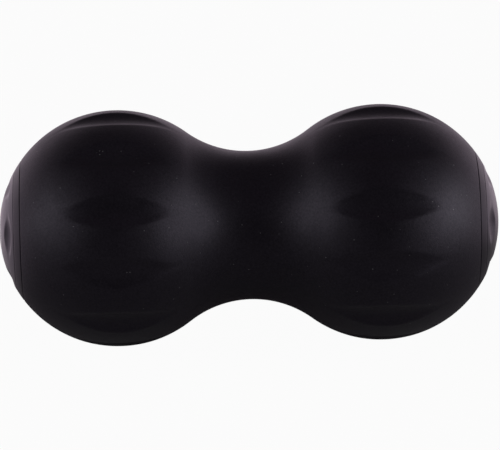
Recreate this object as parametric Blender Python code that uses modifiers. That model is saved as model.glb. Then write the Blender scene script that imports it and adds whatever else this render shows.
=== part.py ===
"""Twin massage ball with a built-in vibrating motor.

Two round lobes joined by a waist lie along +X, on a floor at Z = 0. A silicone sleeve with lens-shaped
hollows is stretched over a plastic clamshell, a collar and a domed cap close each end, and the clamshell
holds a battery, a motor with two off-centre weights, and a control board behind the left cap.
All sizes are in metres.
"""
import math

import bmesh
import bpy
from mathutils import Euler, Matrix, Vector

# Outer form
LOBE_RADIUS = 0.044
LOBE_SPACING = 0.098
WAIST_RADIUS = 0.0277

# Hollows of the sleeve
GROOVE_COUNT = 12
GROOVE_DEPTH = 0.0018
GROOVE_HALF_WIDTH = 0.00612
GROOVE_HALF_LENGTH = 0.0217

# Walls and gaps
SLEEVE_WALL = 0.004
SHELL_WALL = 0.0025
SLEEVE_STRETCH_GAP = 0.0005
FIT_GAP = 0.0003
RUN_GAP = 0.0001

# End closures: radii are about the long axis, and depths are below the lobe's surface
CAP_RADIUS = 0.0221
CAP_WALL = 0.0024
COLLAR_WIDTH = 0.0033
COLLAR_FOOT_WIDTH = 0.002
COLLAR_FOOT_HEIGHT = 0.0012
SHOULDER_DEPTH = 0.0055
NECK_DEPTH = 0.003
NECK_WALL = 0.0021
SKIRT_WALL = 0.0015
SKIRT_HEIGHT = 0.0051
END_FLAT_RADIUS = 0.004

# Dimples of the end caps
DIMPLE_COUNT = 5
DIMPLE_DEPTH = 0.001
DIMPLE_HALF_LENGTH = 0.0076
DIMPLE_HALF_WIDTH = 0.0036
DIMPLE_INSET = 0.00435
DIMPLE_PHASE = math.radians(15.5)

# Power button, light guide and switch
BUTTON_TRAVEL = 0.0005
BUTTON_STEM_RADIUS = 0.0015
BUTTON_STEM_LENGTH = 0.0013
LIGHT_RING_WIDTH = 0.0014
FLANGE_WIDTH = 0.0013
FLANGE_THICKNESS = 0.001
SWITCH_SIDE = 0.006
SWITCH_HEIGHT = 0.0035
PLUNGER_RADIUS = 0.0016
PLUNGER_PROUD = 0.0012
PLUNGER_DEPTH = 0.0012

# Control board and its fixings
BOARD_EDGE_GAP = 0.0007
BOARD_THICKNESS = 0.0012
BOARD_SCREW_COUNT = 3
BOARD_BOSS_GAP = 0.0006
BOARD_SCREW_RADIUS = 0.0009
BOARD_SCREW_HEAD = 0.0018
BOARD_SCREW_LENGTH = 0.006
BOARD_BOSS_WALL = 0.0012
LED_COUNT = 4
LED_SIDE = 0.0014
LED_HEIGHT = 0.0008

# Charging socket
SOCKET_WIDTH = 0.0089
SOCKET_HEIGHT = 0.0032
SOCKET_WALL = 0.0003
SOCKET_RECESS = 0.0007
SOCKET_EDGE_WALL = 0.00065
SOCKET_INNER_WALL = 0.00055
SOCKET_GAP = 3
ROUND_END_SHARE = 0.48
TONGUE_WIDTH = 0.0066
TONGUE_THICKNESS = 0.0007
TONGUE_LENGTH = 0.0045

# Clamshell screws and bosses
SCREW_END_GAP = 0.0006
SCREW_RADIUS = 0.0013
SCREW_HEAD_RADIUS = 0.0025
SCREW_HEAD_HEIGHT = 0.0016
SCREW_SEAT_DEPTH = 0.009
SCREW_BITE = 0.007
BOSS_WALL = 0.0011
BOSS_INSET = 0.0015

# Battery
CELL_RADIUS = 0.0092
CELL_LENGTH = 0.065
CELL_EDGE = 0.0003
CELL_GAP = 0.0006
BATTERY_END_GAP = 0.0128
TAB_THICKNESS = 0.0004
TAB_WIDTH = 0.006
CRADLE_WIDTH = 0.031
CRADLE_FLOOR = 0.002
CRADLE_TOP_DROP = 0.003
CRADLE_END_WALL = 0.0014
PAD_THICKNESS = 0.003
PAD_WIDTH = 0.018
PAD_LENGTH = 0.056
BATTERY_RIB_THICKNESS = 0.002
BATTERY_RIB_PITCH = 0.021

# Motor
CAN_RADIUS = 0.01385
CAN_LENGTH = 0.030
CAN_WALL = 0.001
BELL_THICKNESS = 0.0014
BELL_SPIGOT = 0.0022
SHAFT_RADIUS = 0.0012
SHAFT_OVERHANG = 0.0135
BUSH_RADIUS = 0.0032
BUSH_LENGTH = 0.0028
CORE_RADIUS = 0.0092
CORE_LENGTH = 0.015
CORE_SLOTS = 5
CORE_SLOT_WIDTH = 0.0026
CORE_SLOT_DEPTH = 0.0038
COMMUTATOR_RADIUS = 0.0033
COMMUTATOR_LENGTH = 0.004
MAGNET_THICKNESS = 0.0022
MAGNET_HALF_GAP = 0.004
WEIGHT_RADIUS = 0.012
WEIGHT_THICKNESS = 0.008
WEIGHT_HUB_RADIUS = 0.004
WEIGHT_CLEARANCE = 0.0022
MOUNT_WALL = 0.0035
MOUNT_GROOVE_DEPTH = 0.0012
MOUNT_RIB_THICKNESS = 0.004
MOUNT_LIP = 0.0012
MOUNT_STATION = 0.009
TERMINAL_SIZE = (0.0005, 0.0022, 0.003)
TERMINAL_HEIGHT = 0.0107
TERMINAL_OFFSET = 0.004

# Leads
LEAD_RADIUS = 0.0007
LEAD_SIDE_OFFSET = 0.0013
LEAD_SINK = 0.0015
LEAD_BEND = 0.003
LEAD_SWEEP_GAP = 0.004
LEAD_POINTS_PER_SPAN = 2

# Numbers of facets
SLEEVE_STEPS = 48
END_STEPS = 30
SHELL_STEPS = 24
SMALL_STEPS = 16
TINY_STEPS = 10
LOBE_SPANS = 10
INNER_SPANS = 8
CAVITY_SPANS = 6
WAIST_SPANS = 6
CAP_SPANS = 4
PAD_SPANS_LONG = 10
PAD_SPANS_ACROSS = 5

# How far a scooping pad runs past its lens, and how thick it is, as shares of the lens and the lobe
PAD_OVERRUN_LONG = 1.12
PAD_OVERRUN_ACROSS = 1.3
PAD_RISE = 1.12


def dome(radius, inset=0.0):
    """Distance out from the lobe's centre of the lobe's surface, or of one inside it, at a radius."""
    return math.sqrt((LOBE_RADIUS - inset) ** 2 - radius**2)


# Worked out from the sizes above, with places on an end as distances out from the lobe's centre
LOBE_X = LOBE_SPACING / 2
WAIST_ARC = (LOBE_X**2 + WAIST_RADIUS**2 - LOBE_RADIUS**2) / (2 * (LOBE_RADIUS - WAIST_RADIUS))
AXIS_HEIGHT = LOBE_RADIUS * math.cos(math.asin(GROOVE_HALF_WIDTH / LOBE_RADIUS))
SHELL_INSET = SLEEVE_WALL + SLEEVE_STRETCH_GAP
CAVITY_INSET = SHELL_INSET + SHELL_WALL
NECK_BORE = CAP_RADIUS - NECK_WALL
NECK_OUT = dome(CAP_RADIUS) - NECK_DEPTH
COLLAR_BORE = CAP_RADIUS + FIT_GAP
COLLAR_RADIUS = COLLAR_BORE + COLLAR_WIDTH
FOOT_RADIUS = COLLAR_RADIUS + COLLAR_FOOT_WIDTH
SEAM_RADIUS = COLLAR_RADIUS + FIT_GAP
SHOULDER_OUT = dome(SEAM_RADIUS) - SHOULDER_DEPTH
COLLAR_BOTTOM = SHOULDER_OUT + FIT_GAP
SKIRT_RADIUS = NECK_BORE - FIT_GAP
SKIRT_BORE = SKIRT_RADIUS - SKIRT_WALL
CAP_RIM = NECK_OUT + FIT_GAP
DIMPLE_CENTRE_RADIUS = CAP_RADIUS - DIMPLE_INSET
SOCKET_ROLL = DIMPLE_PHASE + (2 * SOCKET_GAP + 1) * math.pi / DIMPLE_COUNT - math.pi / 2
SOCKET_CENTRE_RADIUS = SKIRT_RADIUS - SOCKET_EDGE_WALL - FIT_GAP - SOCKET_WIDTH / 2
LIGHT_HOLE = SOCKET_CENTRE_RADIUS - SOCKET_WIDTH / 2 - FIT_GAP - SOCKET_INNER_WALL
LIGHT_OUTER = LIGHT_HOLE - FIT_GAP
LIGHT_BORE = LIGHT_OUTER - LIGHT_RING_WIDTH
LIGHT_FLANGE_RADIUS = LIGHT_OUTER + FLANGE_WIDTH
LIGHT_SHOULDER = dome(LIGHT_FLANGE_RADIUS, CAP_WALL) - FIT_GAP
LIGHT_BACK = LIGHT_SHOULDER - FLANGE_THICKNESS
BUTTON_RADIUS = LIGHT_BORE - FIT_GAP
BUTTON_FLANGE_RADIUS = BUTTON_RADIUS + FLANGE_WIDTH
FLANGE_FRONT = LIGHT_BACK - FIT_GAP
FLANGE_BACK = FLANGE_FRONT - FLANGE_THICKNESS
STEM_END = FLANGE_BACK - BUTTON_STEM_LENGTH
PLUNGER_TOP = STEM_END - FIT_GAP
SWITCH_TOP = PLUNGER_TOP - PLUNGER_PROUD
ON_BOARD = SWITCH_TOP - SWITCH_HEIGHT
BOARD_FRONT = ON_BOARD - FIT_GAP
BOARD_OUT = BOARD_FRONT - BOARD_THICKNESS
BOARD_RADIUS = SKIRT_BORE - BOARD_EDGE_GAP
BOARD_SCREW_HOLE = BOARD_SCREW_RADIUS + FIT_GAP
BOARD_BOSS_RADIUS = BOARD_SCREW_HOLE + BOARD_BOSS_WALL
BOARD_SCREW_CIRCLE = LIGHT_FLANGE_RADIUS + BOARD_BOSS_GAP + BOARD_BOSS_RADIUS
BOARD_SCREW_PHASE = SOCKET_ROLL + math.pi / BOARD_SCREW_COUNT
BOSS_RADIUS = SCREW_HEAD_RADIUS + FIT_GAP + BOSS_WALL
SCREW_STATION = SHOULDER_OUT - SHELL_WALL - SCREW_END_GAP - BOSS_RADIUS
CELL_Y = CELL_RADIUS + CELL_GAP / 2
CELL_LEFT_X = -LOBE_X - BOARD_OUT + BATTERY_END_GAP
CELL_END_X = CELL_LEFT_X + CELL_LENGTH
CELLS_MIDDLE_X = CELL_LEFT_X + CELL_LENGTH / 2
MOTOR_INNER_X = LOBE_X - CAN_LENGTH / 2
MOTOR_OUTER_X = LOBE_X + CAN_LENGTH / 2
BELL_FACE_X = MOTOR_INNER_X - FIT_GAP - BELL_THICKNESS
MOUNT_RADIUS = CAN_RADIUS + FIT_GAP + MOUNT_WALL

RIGHT_END = (LOBE_X, 0, 0)
LEFT_END = (-LOBE_X, 0, 0)
MIDDLE = (0, 0, 0)
RIGHT = (0, math.pi / 2, 0)
LEFT = (0, -math.pi / 2, 0)
UP = (0, 0, 0)
MERGE_DISTANCE = 0.00003
FAR = 0.2


for old in list(bpy.data.objects):
    bpy.data.objects.remove(old, do_unlink=True)
parts = bpy.data.collections.new("massage_ball")
cutters = bpy.data.collections.new("cutters")
for group in (parts, cutters):
    bpy.context.scene.collection.children.link(group)
axis_line = bpy.data.objects.new("ball_axis", None)
axis_line.location = (0, 0, AXIS_HEIGHT)
parts.objects.link(axis_line)


def make_material(name, colour, roughness, metallic=0.0):
    """One plain finish: a Principled surface with its own colour."""
    material = bpy.data.materials.new(name)
    material.use_nodes = True
    shader = material.node_tree.nodes["Principled BSDF"]
    shader.inputs["Base Color"].default_value = (*colour, 1.0)
    shader.inputs["Roughness"].default_value = roughness
    shader.inputs["Metallic"].default_value = metallic
    return material


SILICONE = make_material("black_silicone", (0.010, 0.009, 0.012), 0.5)
SATIN_BLACK = make_material("satin_black_plastic", (0.016, 0.015, 0.018), 0.38)
SHELL_GREY = make_material("grey_shell_plastic", (0.10, 0.10, 0.11), 0.5)
LIGHT_GUIDE = make_material("clear_light_guide", (0.75, 0.78, 0.80), 0.25)
STEEL = make_material("zinc_plated_steel", (0.55, 0.55, 0.56), 0.3, 1.0)
NICKEL = make_material("nickel_strip", (0.62, 0.60, 0.55), 0.25, 1.0)
BRONZE = make_material("oiled_bronze", (0.45, 0.30, 0.14), 0.35, 1.0)
COPPER = make_material("copper_segments", (0.60, 0.28, 0.16), 0.3, 1.0)
FERRITE = make_material("ferrite", (0.06, 0.06, 0.065), 0.6)
LAMINATION = make_material("varnished_core", (0.22, 0.09, 0.05), 0.4, 0.6)
LACQUER = make_material("green_lacquer", (0.02, 0.16, 0.07), 0.35)
NATURAL_NYLON = make_material("natural_nylon", (0.62, 0.60, 0.54), 0.5)
MOUNT_RUBBER = make_material("grey_rubber", (0.05, 0.05, 0.05), 0.8)
FOAM = make_material("black_foam", (0.03, 0.03, 0.03), 0.95)
CELL_WRAP = make_material("cell_wrap", (0.06, 0.18, 0.42), 0.35)
LED_BODY = make_material("led_body", (0.85, 0.83, 0.70), 0.4)
RED_PVC = make_material("red_pvc", (0.50, 0.02, 0.02), 0.45)
BLACK_PVC = make_material("black_pvc", (0.02, 0.02, 0.02), 0.45)


def place(name, mesh, material, at, turn=UP):
    """Puts a mesh on the long axis's empty as a part, or as a cutter where it has no material."""
    thing = bpy.data.objects.new(name, mesh)
    thing.location = at
    thing.rotation_euler = turn
    thing.parent = axis_line
    if material is None:
        thing.hide_render = True
        thing.display_type = "WIRE"
        cutters.objects.link(thing)
    else:
        if not mesh.materials:
            mesh.materials.append(material)
        parts.objects.link(thing)
    return thing


def turned(name, profile, steps, material, at, turn=UP, ring=True):
    """Turns a profile of (radius, distance along) points, outer side first; a ring's profile is closed."""
    mesh = bpy.data.meshes.new(name)
    edges = [(i, i + 1) for i in range(len(profile) - 1)]
    if ring:
        edges.append((len(profile) - 1, 0))
    mesh.from_pydata([(radius, 0, along) for radius, along in profile], edges, [])
    thing = place(name, mesh, material, at, turn)
    screw = thing.modifiers.new("Turn", "SCREW")
    screw.axis = "Z"
    screw.angle = 2 * math.pi
    screw.steps = steps
    screw.render_steps = steps
    screw.use_merge_vertices = True
    screw.merge_threshold = MERGE_DISTANCE
    return thing


def rod(name, radius, low, high, steps, material, at, turn=UP):
    """A solid round bar between two distances along its axis."""
    mesh = bpy.data.meshes.new(name)
    shape = bmesh.new()
    middle = Matrix.Translation((0, 0, (low + high) / 2))
    bmesh.ops.create_cone(
        shape, cap_ends=True, segments=steps, radius1=radius, radius2=radius, depth=high - low, matrix=middle
    )
    shape.to_mesh(mesh)
    shape.free()
    return place(name, mesh, material, at, turn)


def blocks(name, boxes, material, at=(0, 0, 0), turn=UP):
    """One or more boxes, each given by its lowest and highest corners."""
    mesh = bpy.data.meshes.new(name)
    shape = bmesh.new()
    for low, high in boxes:
        size = Vector(high) - Vector(low)
        middle = (Vector(high) + Vector(low)) / 2
        bmesh.ops.create_cube(shape, size=1, matrix=Matrix.Translation(middle) @ Matrix.Diagonal((*size, 1)))
    shape.to_mesh(mesh)
    shape.free()
    return place(name, mesh, material, at, turn)


def stadium(name, width, height, low, high, material, at, turn):
    """A bar along Z whose section is a flat shape with round ends, as a reversible plug has."""
    mesh = bpy.data.meshes.new(name)
    shape = bmesh.new()
    middle = Matrix.Translation((0, 0, (low + high) / 2))
    bmesh.ops.create_cube(shape, size=1, matrix=middle @ Matrix.Diagonal((width, height, high - low, 1)))
    corners = [e for e in shape.edges if abs(e.verts[0].co.z - e.verts[1].co.z) > (high - low) / 2]
    bmesh.ops.bevel(
        shape,
        geom=corners,
        offset=height * ROUND_END_SHARE,
        segments=3,
        profile=0.5,
        affect="EDGES",
        material=-1,
    )
    shape.to_mesh(mesh)
    shape.free()
    return place(name, mesh, material, at, turn)


def combine(thing, tool, operation="DIFFERENCE"):
    """Cuts a tool out of a part, or joins it on, exactly."""
    boolean = thing.modifiers.new(tool.name, "BOOLEAN")
    boolean.operation = operation
    boolean.solver = "EXACT"
    boolean.object = tool


def on_left_end(radius, roll):
    """A point level with the left lobe's centre, at a radius rolled from straight up toward the back."""
    return Vector(LEFT_END) + Vector((0, radius * math.sin(roll), radius * math.cos(roll)))


def rolled(turn, angle):
    """An end piece's turn, rolled further about the long axis."""
    return (Matrix.Rotation(angle, 3, "X") @ Euler(turn).to_matrix()).to_euler()


def skin_radius(x, inset=0.0):
    """Radius of the two lobes and the waist at x, or of a surface inside them."""
    tangent_x = LOBE_X * (WAIST_ARC + inset) / (WAIST_ARC + LOBE_RADIUS)
    if abs(x) > tangent_x:
        return math.sqrt((LOBE_RADIUS - inset) ** 2 - (abs(x) - LOBE_X) ** 2)
    return WAIST_RADIUS + WAIST_ARC - math.sqrt((WAIST_ARC + inset) ** 2 - x**2)


def skin_profile(inset, end_radius, lobe_spans):
    """The skin from a radius at the right end to the same at the left, as (radius, x) points."""
    radius = LOBE_RADIUS - inset
    first = math.asin(end_radius / radius)
    last = math.pi - math.acos(LOBE_X / (WAIST_ARC + LOBE_RADIUS))
    half = []
    for i in range(lobe_spans + 1):
        angle = first + (last - first) * i / lobe_spans
        half.append((radius * math.sin(angle), LOBE_X + radius * math.cos(angle)))
    swing = last - math.pi / 2
    for i in range(1, WAIST_SPANS // 2):
        angle = swing * (1 - 2 * i / WAIST_SPANS)
        arc = WAIST_ARC + inset
        half.append((WAIST_RADIUS + WAIST_ARC - arc * math.cos(angle), arc * math.sin(angle)))
    middle = (WAIST_RADIUS - inset, 0.0)
    return half + [middle] + [(r, -x) for r, x in reversed(half)]


def lens_pad(shape, latitude, roll, half_latitude, half_roll, depth, long_way):
    """Adds a closed pad whose underside scoops a pointed lens out of a lobe.

    The sinking is depth * (|1 - u^2| (1 - u^2) - v^2), with u along the lens and v across it, so the lens
    has two points and a round bottom, and the pad rises clear of the lobe outside its rim.
    """
    made = bmesh.ops.create_grid(shape, x_segments=PAD_SPANS_LONG, y_segments=PAD_SPANS_ACROSS, size=1)
    for vert in made["verts"]:
        along = vert.co.x * PAD_OVERRUN_LONG
        across = vert.co.y * PAD_OVERRUN_ACROSS
        reach = 1 - along**2
        sink = depth * (reach * abs(reach) - across**2)
        if long_way == "latitude":
            lift, turn = latitude + along * half_latitude, roll + across * half_roll
        else:
            lift, turn = latitude + across * half_latitude, roll + along * half_roll
        level = (LOBE_RADIUS - sink) * math.cos(lift)
        vert.co = (level * math.cos(turn), level * math.sin(turn), (LOBE_RADIUS - sink) * math.sin(lift))
    faces = list({face for vert in made["verts"] for face in vert.link_faces})
    raised = bmesh.ops.extrude_face_region(shape, geom=faces, use_keep_orig=True)
    top = [item for item in raised["geom"] if isinstance(item, bmesh.types.BMVert)]
    bmesh.ops.scale(shape, vec=(PAD_RISE, PAD_RISE, PAD_RISE), verts=top)


def lens_cutter(name, count, phase, latitude, half_latitude, half_roll, depth, long_way):
    """A mesh of like pads spread round one lobe's axis, which is local Z."""
    mesh = bpy.data.meshes.new(name)
    shape = bmesh.new()
    for i in range(count):
        roll = phase + 2 * math.pi * i / count
        lens_pad(shape, latitude, roll, half_latitude, half_roll, depth, long_way)
    bmesh.ops.recalc_face_normals(shape, faces=shape.faces)
    shape.to_mesh(mesh)
    shape.free()
    return mesh


# Sleeve: one moulding of soft silicone with a hooked lip at each opening
lip_step = FOOT_RADIUS + FIT_GAP
lip_out = COLLAR_BOTTOM + COLLAR_FOOT_HEIGHT + FIT_GAP
right_lip = [(lip_step, LOBE_X + dome(lip_step, SLEEVE_WALL)), (lip_step, LOBE_X + lip_out)]
right_lip.append((SEAM_RADIUS, LOBE_X + lip_out))
sleeve_outside = skin_profile(0.0, SEAM_RADIUS, LOBE_SPANS)
sleeve_inside = skin_profile(SLEEVE_WALL, lip_step, INNER_SPANS)[1:-1]
left_lip = [(radius, -x) for radius, x in reversed(right_lip)]
sleeve_profile = sleeve_outside + left_lip + sleeve_inside[::-1] + right_lip
silicone_sleeve = turned("silicone_sleeve", sleeve_profile, SLEEVE_STEPS, SILICONE, MIDDLE, RIGHT)
groove_mesh = lens_cutter(
    "groove_pads",
    GROOVE_COUNT,
    0.0,
    0.0,
    math.asin(GROOVE_HALF_LENGTH / LOBE_RADIUS),
    math.asin(GROOVE_HALF_WIDTH / LOBE_RADIUS),
    GROOVE_DEPTH,
    "latitude",
)
for end, turn, word in ((LEFT_END, LEFT, "left"), (RIGHT_END, RIGHT, "right")):
    combine(silicone_sleeve, place(f"groove_cutter_{word}", groove_mesh, None, end, turn))

# Collars: hard rings that push over the clamshell's necks and trap the sleeve's lips
collar_profile = [
    (COLLAR_BORE, dome(COLLAR_BORE)),
    (COLLAR_RADIUS, dome(COLLAR_RADIUS)),
    (COLLAR_RADIUS, COLLAR_BOTTOM + COLLAR_FOOT_HEIGHT),
    (FOOT_RADIUS, COLLAR_BOTTOM + COLLAR_FOOT_HEIGHT),
    (FOOT_RADIUS, COLLAR_BOTTOM),
    (COLLAR_BORE, COLLAR_BOTTOM),
]
for end, turn, word in ((LEFT_END, LEFT, "left"), (RIGHT_END, RIGHT, "right")):
    turned(f"end_collar_{word}", collar_profile, END_STEPS, SATIN_BLACK, end, turn)

# Clamshell: two halves whose insides keep ribs for the battery and motor, and bosses for the screws
shoulder_radius = math.sqrt((LOBE_RADIUS - SHELL_INSET) ** 2 - SHOULDER_OUT**2)
right_neck = [(CAP_RADIUS, LOBE_X + NECK_OUT), (CAP_RADIUS, LOBE_X + SHOULDER_OUT)]
shell_outline = [(0.0, LOBE_X + NECK_OUT)] + right_neck
shell_outline += skin_profile(SHELL_INSET, shoulder_radius, INNER_SPANS)
shell_outline += [(radius, -x) for radius, x in reversed(right_neck)] + [(0.0, -LOBE_X - NECK_OUT)]
bore_end = LOBE_X + NECK_OUT + SHELL_WALL
shoulder_inside = SHOULDER_OUT - SHELL_WALL
shoulder_bore = math.sqrt((LOBE_RADIUS - CAVITY_INSET) ** 2 - shoulder_inside**2)
right_bore = [(0.0, bore_end), (NECK_BORE, bore_end), (NECK_BORE, LOBE_X + shoulder_inside)]
cavity_outline = right_bore + skin_profile(CAVITY_INSET, shoulder_bore, CAVITY_SPANS)
cavity_outline += [(radius, -x) for radius, x in reversed(right_bore)]

rib_stations = [CELLS_MIDDLE_X + i * BATTERY_RIB_PITCH for i in (-1, 0, 1)]
cradle_bottom = -CELL_RADIUS - FIT_GAP - CRADLE_FLOOR
pad_top = CELL_RADIUS + FIT_GAP + PAD_THICKNESS
mount_stations = [LOBE_X - MOUNT_STATION, LOBE_X + MOUNT_STATION]
seat_radius = MOUNT_RADIUS - MOUNT_GROOVE_DEPTH + FIT_GAP
screw_places = []
for lobe in (-1, 1):
    for step in (-1, 1):
        x = lobe * LOBE_X + step * SCREW_STATION
        for front in (-1, 1):
            screw_places.append((x, front * (skin_radius(x, CAVITY_INSET) - BOSS_INSET)))


def half_shell(name, sign):
    """One half: the outer form, less the other half, less a cavity that keeps the ribs and bosses."""
    half = turned(name, shell_outline, SHELL_STEPS, SHELL_GREY, MIDDLE, RIGHT, ring=False)
    cavity = turned(f"{name}_cavity", cavity_outline, SHELL_STEPS, None, MIDDLE, RIGHT, ring=False)
    near, far = sorted((-sign * FIT_GAP / 2, sign * FAR))
    rest = cradle_bottom - FIT_GAP if sign < 0 else pad_top + FIT_GAP
    low, high = sorted((rest, sign * FAR))
    thick = BATTERY_RIB_THICKNESS / 2
    boxes = [((x - thick, -FAR, low), (x + thick, FAR, high)) for x in rib_stations]
    thick = MOUNT_RIB_THICKNESS / 2
    boxes += [((x - thick, -FAR, near), (x + thick, FAR, far)) for x in mount_stations]
    ribs = blocks(f"{name}_ribs", boxes, None)
    reach = MOUNT_STATION + MOUNT_RIB_THICKNESS
    seat = rod(f"{name}_seat", seat_radius, -reach, reach, SHELL_STEPS, None, RIGHT_END, RIGHT)
    combine(ribs, seat)
    combine(cavity, ribs)
    for i, (x, y) in enumerate(screw_places):
        boss = rod(f"{name}_boss_{i}", BOSS_RADIUS, near, far, TINY_STEPS, None, (x, y, 0))
        combine(cavity, boss)
    low, high = sorted((sign * FIT_GAP / 2, -sign * FAR))
    combine(half, blocks(f"{name}_other_half", [((-FAR, -FAR, low), (FAR, FAR, high))], None))
    combine(half, cavity)
    return half


lower_shell = half_shell("lower_shell", -1)
upper_shell = half_shell("upper_shell", 1)
hole_radius = SCREW_RADIUS + FIT_GAP
well_radius = SCREW_HEAD_RADIUS + FIT_GAP
seat = -SCREW_SEAT_DEPTH - FIT_GAP
recess = SCREW_HEAD_RADIUS / 2
screw_profile = [
    (0.0, SCREW_BITE),
    (SCREW_RADIUS, SCREW_BITE - SCREW_RADIUS),
    (SCREW_RADIUS, seat),
    (SCREW_HEAD_RADIUS, seat),
    (SCREW_HEAD_RADIUS, seat - SCREW_HEAD_HEIGHT),
    (recess, seat - SCREW_HEAD_HEIGHT),
    (recess, seat - SCREW_HEAD_HEIGHT / 3),
    (0.0, seat - SCREW_HEAD_HEIGHT / 3),
]
for i, (x, y) in enumerate(screw_places):
    at = (x, y, 0)
    combine(lower_shell, rod(f"screw_hole_{i}", hole_radius, -FAR, FIT_GAP, TINY_STEPS, None, at))
    combine(lower_shell, rod(f"screw_well_{i}", well_radius, -FAR, -SCREW_SEAT_DEPTH, TINY_STEPS, None, at))
    pilot_end = SCREW_BITE + FIT_GAP
    combine(upper_shell, rod(f"screw_pilot_{i}", hole_radius, -FIT_GAP, pilot_end, TINY_STEPS, None, at))
    turned(f"shell_screw_{i + 1}", screw_profile, TINY_STEPS, STEEL, at, ring=False)

# Caps: domed covers with a skirt that snaps into the neck
dimple_mesh = lens_cutter(
    "dimple_pads",
    DIMPLE_COUNT,
    0.0,
    math.acos(DIMPLE_CENTRE_RADIUS / LOBE_RADIUS),
    math.asin(DIMPLE_HALF_WIDTH / LOBE_RADIUS),
    math.asin(DIMPLE_HALF_LENGTH / DIMPLE_CENTRE_RADIUS),
    DIMPLE_DEPTH,
    "roll",
)


def domed(outer_radius, inner_radius, inset=0.0):
    """Points along the lobe's surface from a small radius out to a larger one."""
    first = math.asin(inner_radius / (LOBE_RADIUS - inset))
    last = math.asin(outer_radius / (LOBE_RADIUS - inset))
    angles = [first + (last - first) * i / CAP_SPANS for i in range(CAP_SPANS + 1)]
    return [((LOBE_RADIUS - inset) * math.sin(a), (LOBE_RADIUS - inset) * math.cos(a)) for a in angles]


def cap_profile(inner_radius):
    """Outer dome, rim on the neck, skirt and inner dome; a radius of 0 closes the middle with a flat."""
    skirt_end = CAP_RIM - SKIRT_HEIGHT
    edge = [(CAP_RADIUS, CAP_RIM), (SKIRT_RADIUS, CAP_RIM)]
    edge += [(SKIRT_RADIUS, skirt_end), (SKIRT_BORE, skirt_end)]
    if inner_radius:
        inside = domed(SKIRT_BORE, inner_radius, CAP_WALL)[::-1]
        return domed(CAP_RADIUS, inner_radius) + edge + inside
    inside = domed(SKIRT_BORE, END_FLAT_RADIUS, CAP_WALL)[::-1]
    middle_out = dome(END_FLAT_RADIUS)
    outside = [(0.0, middle_out)] + domed(CAP_RADIUS, END_FLAT_RADIUS)
    return outside + edge + inside + [(0.0, dome(END_FLAT_RADIUS, CAP_WALL))]


control_cap = turned("control_cap", cap_profile(LIGHT_HOLE), END_STEPS, SATIN_BLACK, LEFT_END, LEFT)
plain_cap = turned("plain_cap", cap_profile(0.0), END_STEPS, SATIN_BLACK, RIGHT_END, RIGHT, ring=False)

# The front dimple of each cap lies a little above the axis, by DIMPLE_PHASE
for cap, end, turn in ((control_cap, LEFT_END, LEFT), (plain_cap, RIGHT_END, RIGHT)):
    combine(cap, place(f"{cap.name}_dimples", dimple_mesh, None, end, rolled(turn, -DIMPLE_PHASE)))

# Bosses inside the control cap take the board's screws
board_screw_places = []
for i in range(BOARD_SCREW_COUNT):
    roll = BOARD_SCREW_PHASE + 2 * math.pi * i / BOARD_SCREW_COUNT
    board_screw_places.append(on_left_end(BOARD_SCREW_CIRCLE, roll))
boss_top = dome(BOARD_SCREW_CIRCLE + BOARD_BOSS_RADIUS, CAP_WALL / 2)
bite = ON_BOARD + BOARD_SCREW_LENGTH - BOARD_THICKNESS
for i, at in enumerate(board_screw_places):
    boss = rod(f"board_boss_{i}", BOARD_BOSS_RADIUS, ON_BOARD, boss_top, TINY_STEPS, None, at, LEFT)
    combine(control_cap, boss, "UNION")
    drill = rod(f"board_drill_{i}", BOARD_SCREW_HOLE, BOARD_FRONT, bite, TINY_STEPS, None, at, LEFT)
    combine(control_cap, drill)

# Power button: a domed key with a flange behind the light guide and a stem over the switch
button_profile = [
    (0.0, dome(END_FLAT_RADIUS)),
    (END_FLAT_RADIUS, dome(END_FLAT_RADIUS)),
    (BUTTON_RADIUS, dome(BUTTON_RADIUS)),
    (BUTTON_RADIUS, FLANGE_FRONT),
    (BUTTON_FLANGE_RADIUS, FLANGE_FRONT),
    (BUTTON_FLANGE_RADIUS, FLANGE_BACK),
    (BUTTON_STEM_RADIUS, FLANGE_BACK),
    (BUTTON_STEM_RADIUS, STEM_END),
    (0.0, STEM_END),
]
turned("power_button", button_profile, SMALL_STEPS, SATIN_BLACK, LEFT_END, LEFT, ring=False)
light_profile = [
    (LIGHT_BORE, dome(LIGHT_BORE)),
    (LIGHT_OUTER, dome(LIGHT_OUTER)),
    (LIGHT_OUTER, LIGHT_SHOULDER),
    (LIGHT_FLANGE_RADIUS, LIGHT_SHOULDER),
    (LIGHT_FLANGE_RADIUS, LIGHT_BACK),
    (LIGHT_BORE, LIGHT_BACK),
]
turned("light_guide", light_profile, END_STEPS, LIGHT_GUIDE, LEFT_END, LEFT)

# Switch on the board, with the plunger that the button pushes
half_side = SWITCH_SIDE / 2
switch_box = [((-half_side, -half_side, ON_BOARD), (half_side, half_side, SWITCH_TOP))]
switch_body = blocks("switch_body", switch_box, BLACK_PVC, LEFT_END, LEFT)
plunger_bottom = SWITCH_TOP - PLUNGER_DEPTH
well_floor = plunger_bottom - BUTTON_TRAVEL - FIT_GAP
well_top = SWITCH_TOP + FIT_GAP
switch_well = rod(
    "switch_well", PLUNGER_RADIUS + FIT_GAP, well_floor, well_top, SMALL_STEPS, None, LEFT_END, LEFT
)
combine(switch_body, switch_well)
rod("switch_plunger", PLUNGER_RADIUS, plunger_bottom, PLUNGER_TOP, SMALL_STEPS, NATURAL_NYLON, LEFT_END, LEFT)

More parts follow.
